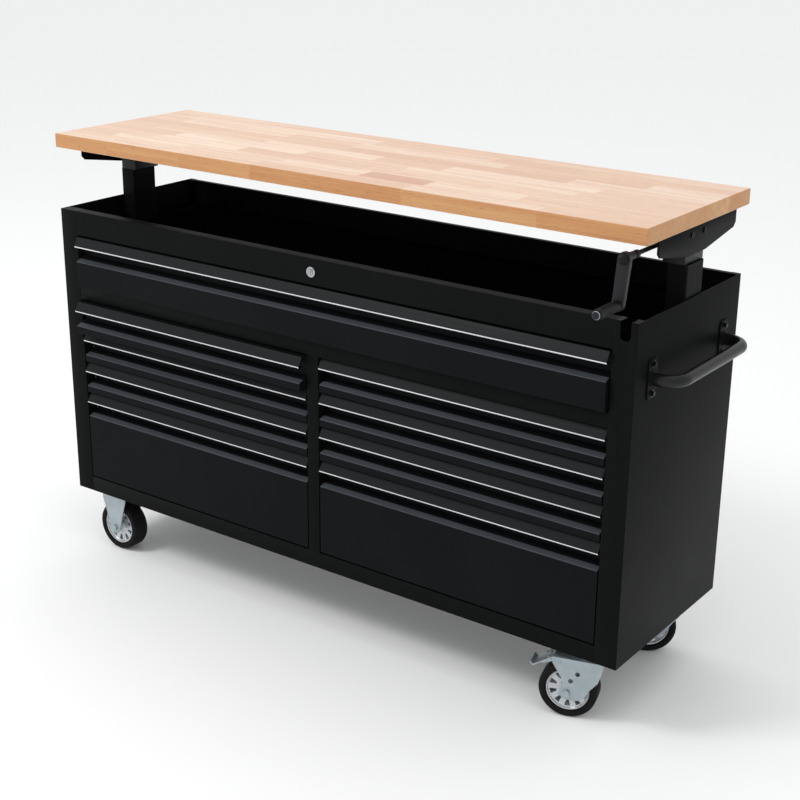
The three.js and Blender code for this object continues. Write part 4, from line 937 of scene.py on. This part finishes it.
def worktop():
    """A slab of staves. Each stave's faces carry its own tone, blush and place in the log."""
    low, high = box_mm("worktop")
    rng = random.Random(41)
    lines = [low.y, 54, 109, 158, 208, 259, 308, 358, 408, high.y]
    joints = []
    for row in range(9):
        if row == 1:
            joints.append([low.x, 118, 361, 640, 872, 1038, 1262, 1494, high.x])
            continue
        ends = [low.x]
        step = rng.uniform(90, 320)
        while ends[-1] + step < high.x - 130:
            ends.append(ends[-1] + step)
            step = rng.uniform(170, 430)
        joints.append(ends + [high.x])
    edge = 2.2
    xs = lambda x: min(max(x, low.x), high.x)
    corner_index, corners = {}, []

    def corner(x, y, z):
        key = (round(x, 3), round(y, 3), round(z, 3))
        if key not in corner_index:
            corner_index[key] = len(corners)
            corners.append(place(x, y, z))
        return corner_index[key]

    faces, owners = [], []
    for row in range(9):
        y0, y1 = lines[row], lines[row + 1]
        front_breaks = set(joints[row]) | (set(joints[row - 1]) if row else set())
        back_breaks = set(joints[row]) | (set(joints[row + 1]) if row < 8 else set())
        for index, (x0, x1) in enumerate(zip(joints[row], joints[row][1:])):
            owner = (row, index)
            near = [x for x in sorted(front_breaks) if x0 <= x <= x1]
            far = [x for x in sorted(back_breaks, reverse=True) if x0 <= x <= x1]
            for z in (low.z, high.z):
                faces.append([corner(xs(x), y0, z) for x in near] + [corner(xs(x), y1, z) for x in far])
                owners.append(owner)
            if row == 0:
                faces.append([corner(x0, y0, low.z), corner(x1, y0, low.z), corner(x1, y0, high.z),
                              corner(x0, y0, high.z)])
                owners.append(owner)
            if row == 8:
                faces.append([corner(x0, y1, low.z), corner(x1, y1, low.z), corner(x1, y1, high.z),
                              corner(x0, y1, high.z)])
                owners.append(owner)
            for x, is_end in ((x0, index == 0), (x1, index == len(joints[row]) - 2)):
                if is_end:
                    faces.append([corner(x, y0, low.z), corner(x, y1, low.z), corner(x, y1, high.z),
                                  corner(x, y0, high.z)])
                    owners.append(owner)
    mesh = bpy.data.meshes.new("butcher_block_top")
    mesh.from_pydata([tuple(c) for c in corners], [], faces)
    looks = {}
    for owner in sorted(set(owners)):
        tone, blush = rng.random(), max(0.0, rng.gauss(0.02, 0.12))
        looks[owner] = (tone, min(blush, 0.4), [rng.uniform(-9, 9) for _ in range(3)])
    looks[(1, 4)] = (0.8, 0.75, looks[(1, 4)][2])
    flank = mesh.attributes.new("flank", "FLOAT", "FACE")
    flank.data.foreach_set("value", [0.0 if abs(face.normal.z) > 0.5 else 1.0 for face in mesh.polygons])
    for name, kind, pick in (("tone", "FLOAT", 0), ("blush", "FLOAT", 1), ("log", "FLOAT_VECTOR", 2)):
        layer = mesh.attributes.new(name, kind, "FACE")
        if kind == "FLOAT":
            layer.data.foreach_set("value", [looks[o][pick] for o in owners])
        else:
            layer.data.foreach_set("vector", [v for o in owners for v in looks[o][pick]])
    bm = bmesh.new()
    bm.from_mesh(mesh)
    bmesh.ops.recalc_face_normals(bm, faces=bm.faces)
    bm.to_mesh(mesh)
    bm.free()
    top = to_object("butcher_block_top", mesh, WOOD)
    settle(ease(top, edge, 3, 60), "lift", "butcher_block", "worktop")


# ---- Casters ----

def wheel_frame(joint):
    """Moves a wheel made about the y axis to its axle."""
    axis = Vector(JOINTS[joint]["axis"])
    yaw = math.atan2(-axis.x, axis.y)
    return Matrix.Translation(JOINTS[joint]["pos_m"]) @ Matrix.Rotation(yaw, 4, "Z")


def tyre_profile():
    half, radius, inner = 23, 63.5, 48.3
    points = [(inner, -half + 5), (inner + 1.2, -half + 1.2), (inner + 4.5, -half)]
    for step in range(9):
        angle = math.radians(-90 + 10 * step)
        points.append((radius - 6.2 + 6.0 * math.cos(angle), -half + 6 + 6.0 * math.sin(angle)))
    points += [(radius - 0.05, -9), (radius, -3), (radius, 3), (radius - 0.05, 9)]
    return points + [(r, -y) for r, y in points[-5::-1]]


def rim_profile():
    return [(5.3, -25), (8.5, -25), (11.2, -24.4), (12, -23), (12.4, -15.5), (14, -14), (24, -13.2),
            (40.5, -14), (42.8, -15), (44, -17), (44.4, -19.4), (46, -20), (47.6, -18.6), (48, -16.5),
            (48, 16.5), (47.6, 18.6), (46, 20), (44.4, 19.4), (44, 17), (42.8, 15), (40.5, 14),
            (24, 13.2), (14, 14), (12.4, 15.5), (12, 23), (11.2, 24.4), (8.5, 25), (5.3, 25)]


def rim_window_cutters():
    """Ten tapered windows round the wheel centre, as one mesh."""
    bm = bmesh.new()
    for index in range(10):
        turn = (index + 0.5) * math.tau / 10
        out = Vector((math.cos(turn), 0, math.sin(turn)))
        side = Vector((-math.sin(turn), 0, math.cos(turn)))
        ring = [out * 26 - side * 2.6, out * 41 - side * 6.4, out * 41 + side * 6.4, out * 26 + side * 2.6]
        low = [bm.verts.new((p + Vector((0, -30, 0))) * MM) for p in ring]
        high = [bm.verts.new((p + Vector((0, 30, 0))) * MM) for p in ring]
        bm.faces.new(low)
        bm.faces.new(high)
        for i in range(4):
            j = (i + 1) % 4
            bm.faces.new((low[i], low[j], high[j], high[i]))
    bmesh.ops.recalc_face_normals(bm, faces=bm.faces)
    vertical = [e for e in bm.edges if abs((e.verts[0].co - e.verts[1].co).y) > 0.05]
    bmesh.ops.bevel(bm, geom=vertical, offset=1.6 * MM, segments=3, affect="EDGES", profile=0.5)
    mesh = bpy.data.meshes.new("window_cutters")
    bm.to_mesh(mesh)
    bm.free()
    return to_object("window_cutters", mesh)


def wheels():
    cutters = rim_window_cutters()
    centre = turned("wheel_centre", rim_profile(), ALLOY, 96)
    carve = centre.modifiers.new("windows", "BOOLEAN")
    carve.object = cutters
    carve.solver = "EXACT"
    centre = made_plain(centre, "wheel_centre")
    bpy.data.objects.remove(cutters)
    for wheel in ("rigid_front", "rigid_rear", "swivel_front", "swivel_rear"):
        joint = f"wheel_{wheel}_spin"
        spot = wheel_frame(joint)
        rim = to_object(f"wheel_centre_{wheel}", centre.data.copy())
        moved(rim, spot)
        settle(shade(rim, 40), f"wheel_{wheel}", "alloy", f"rim_{wheel}")
        tread = moved(turned(f"rubber_tyre_{wheel}", tyre_profile(), RUBBER, 112), spot)
        settle(tread, f"wheel_{wheel}", "rubber", f"tyre_{wheel}")
        nuts = []
        for index in range(5):
            angle = index * math.tau / 5
            ring = Vector((18.5 * MM * math.cos(angle), 0, 18.5 * MM * math.sin(angle)))
            for side in (-1, 1):
                at = spot @ (ring + Vector((0, side * 13.5 * MM, 0)))
                nuts.append((at, spot.to_3x3() @ Vector((0, side, 0))))
        rivets(f"wheel_rivets_{wheel}", nuts, f"wheel_{wheel}", "alloy", 2.2, 0.5, ZINC)
    bpy.data.objects.remove(centre)


RIGID_X = 106
SWIVEL_X = CABINET_W - 85
CASTER_INSET = 50  # from the front or the back of the cabinet
BLADE_Z = -24.5  # top of the brake blade where it leaves the fork
BLADE_KNEE = -76  # where the blade turns down
BLADE_FALL = math.tan(math.radians(31))
BRAKE_PIN = (-58, -26)
CHEEK_FACES = (20.5, 23)  # inner and outer face of a brake cheek


def casters():
    for row, y in (("front", CASTER_INSET), ("rear", CABINET_D - CASTER_INSET)):
        eased_copy(f"rigid_fork_{row}", ZINC, 0.8)
        eased_copy(f"swivel_plate_{row}", ZINC, 0.8)
        eased_copy(f"swivel_fork_{row}", ZINC, 0.8)
        eased_copy(f"brake_pedal_{row}", ZINC, 0.7)
        for kind, x in (("rigid", RIGID_X), ("swivel", SWIVEL_X)):
            spots = [(place(x + dx, y + dy, -3.3), (0, 0, -1)) for dx in (-38, 38) for dy in (-29, 29)]
            bolts(f"{kind}_{row}_plate_bolts", spots, "cabinet", "zinc", 6, 4.5, 7.2, metal=ZINC)
        axis = Vector(JOINTS[f"wheel_swivel_{row}_spin"]["axis"])
        yaw = Matrix.Rotation(math.atan2(-axis.x, axis.y), 4, "Z")
        hub = Matrix.Translation(place(SWIVEL_X, y, 0)) @ yaw
        spots = []
        for dx, dy in ((-86, -10), (-86, 10)):
            spot = Vector((dx, dy, BLADE_Z + (dx - BLADE_KNEE) * BLADE_FALL)) * MM
            spots.append((hub @ spot, hub.to_3x3() @ Vector((-BLADE_FALL, 0, 1)).normalized()))
        rivets(f"brake_pedal_rivets_{row}", spots, f"pedal_{row}", "zinc", 4.2, 0.45, ZINC)
        pin_ends, cheek_ends = [], []
        cheek = [(-54, -20.6), (-76, -23), (-101, -38), (-96, -42), (-76, -33.5), (-60, -31.6), (-53, -28)]
        for side in (-1, 1):
            out = hub.to_3x3() @ Vector((0, side, 0))
            pin_ends.append((hub @ (Vector((BRAKE_PIN[0], side * 33, BRAKE_PIN[1])) * MM), out))
            corners = [hub @ (Vector((x, side * reach, z)) * MM) for reach in CHEEK_FACES for x, z in cheek]
            count = len(cheek)
            faces = [tuple(range(count)), tuple(range(count, 2 * count))]
            faces += [(i, (i + 1) % count, count + (i + 1) % count, count + i) for i in range(count)]
            plate = from_faces(f"brake_cheek_{row}_{'near' if side < 0 else 'far'}", corners, faces, ZINC)
            settle(ease(plate, 0.4), f"pedal_{row}", "zinc")
            for x, z in ((-79, -28.5), (-90, -35.5)):
                cheek_ends.append((hub @ (Vector((x, side * CHEEK_FACES[1], z)) * MM), out))
        rivets(f"brake_pin_ends_{row}", pin_ends, f"swivel_{row}", "zinc", 4.0, 0.5, ZINC)
        rivets(f"brake_cheek_rivets_{row}", cheek_ends, f"pedal_{row}", "zinc", 2.4, 0.5, ZINC)


# ---- Assembly ----

set_camera()
cabinet()
lock()
side_handle()
for drawer_name in [n for n in frame["nodes"] if n.endswith("_pull")]:
    drawer(drawer_name.removesuffix("_pull"))
lift()
crank()
worktop()
casters()
wheels()

bpy.context.scene.view_settings.view_transform = "Standard"
world = bpy.data.worlds.new("studio")
bpy.context.scene.world = world
world.use_nodes = True
world.node_tree.nodes["Background"].inputs["Color"].default_value = (0.98, 0.99, 1.0, 1)
world.node_tree.nodes["Background"].inputs["Strength"].default_value = 0.9
soft_light("overhead", (0.2, 0.2, 3.4), (0, 0, 0.8), (3.4, 2.2), 10)
soft_light("key", (-2.2, -2.8, 4.4), (0, 0, 0.6), (1.4, 1.4), 85)

floor_mesh = bpy.data.meshes.new("studio_floor")
floor_mesh.from_pydata([(-40, -40, 0), (40, -40, 0), (40, 40, 0), (-40, 40, 0)], [], [(0, 1, 2, 3)])
floor_paper, _, _, _ = blank("pale_studio_paper", "#fcfcfb", 0.0, 0.9)
to_object("studio_floor", floor_mesh, floor_paper)
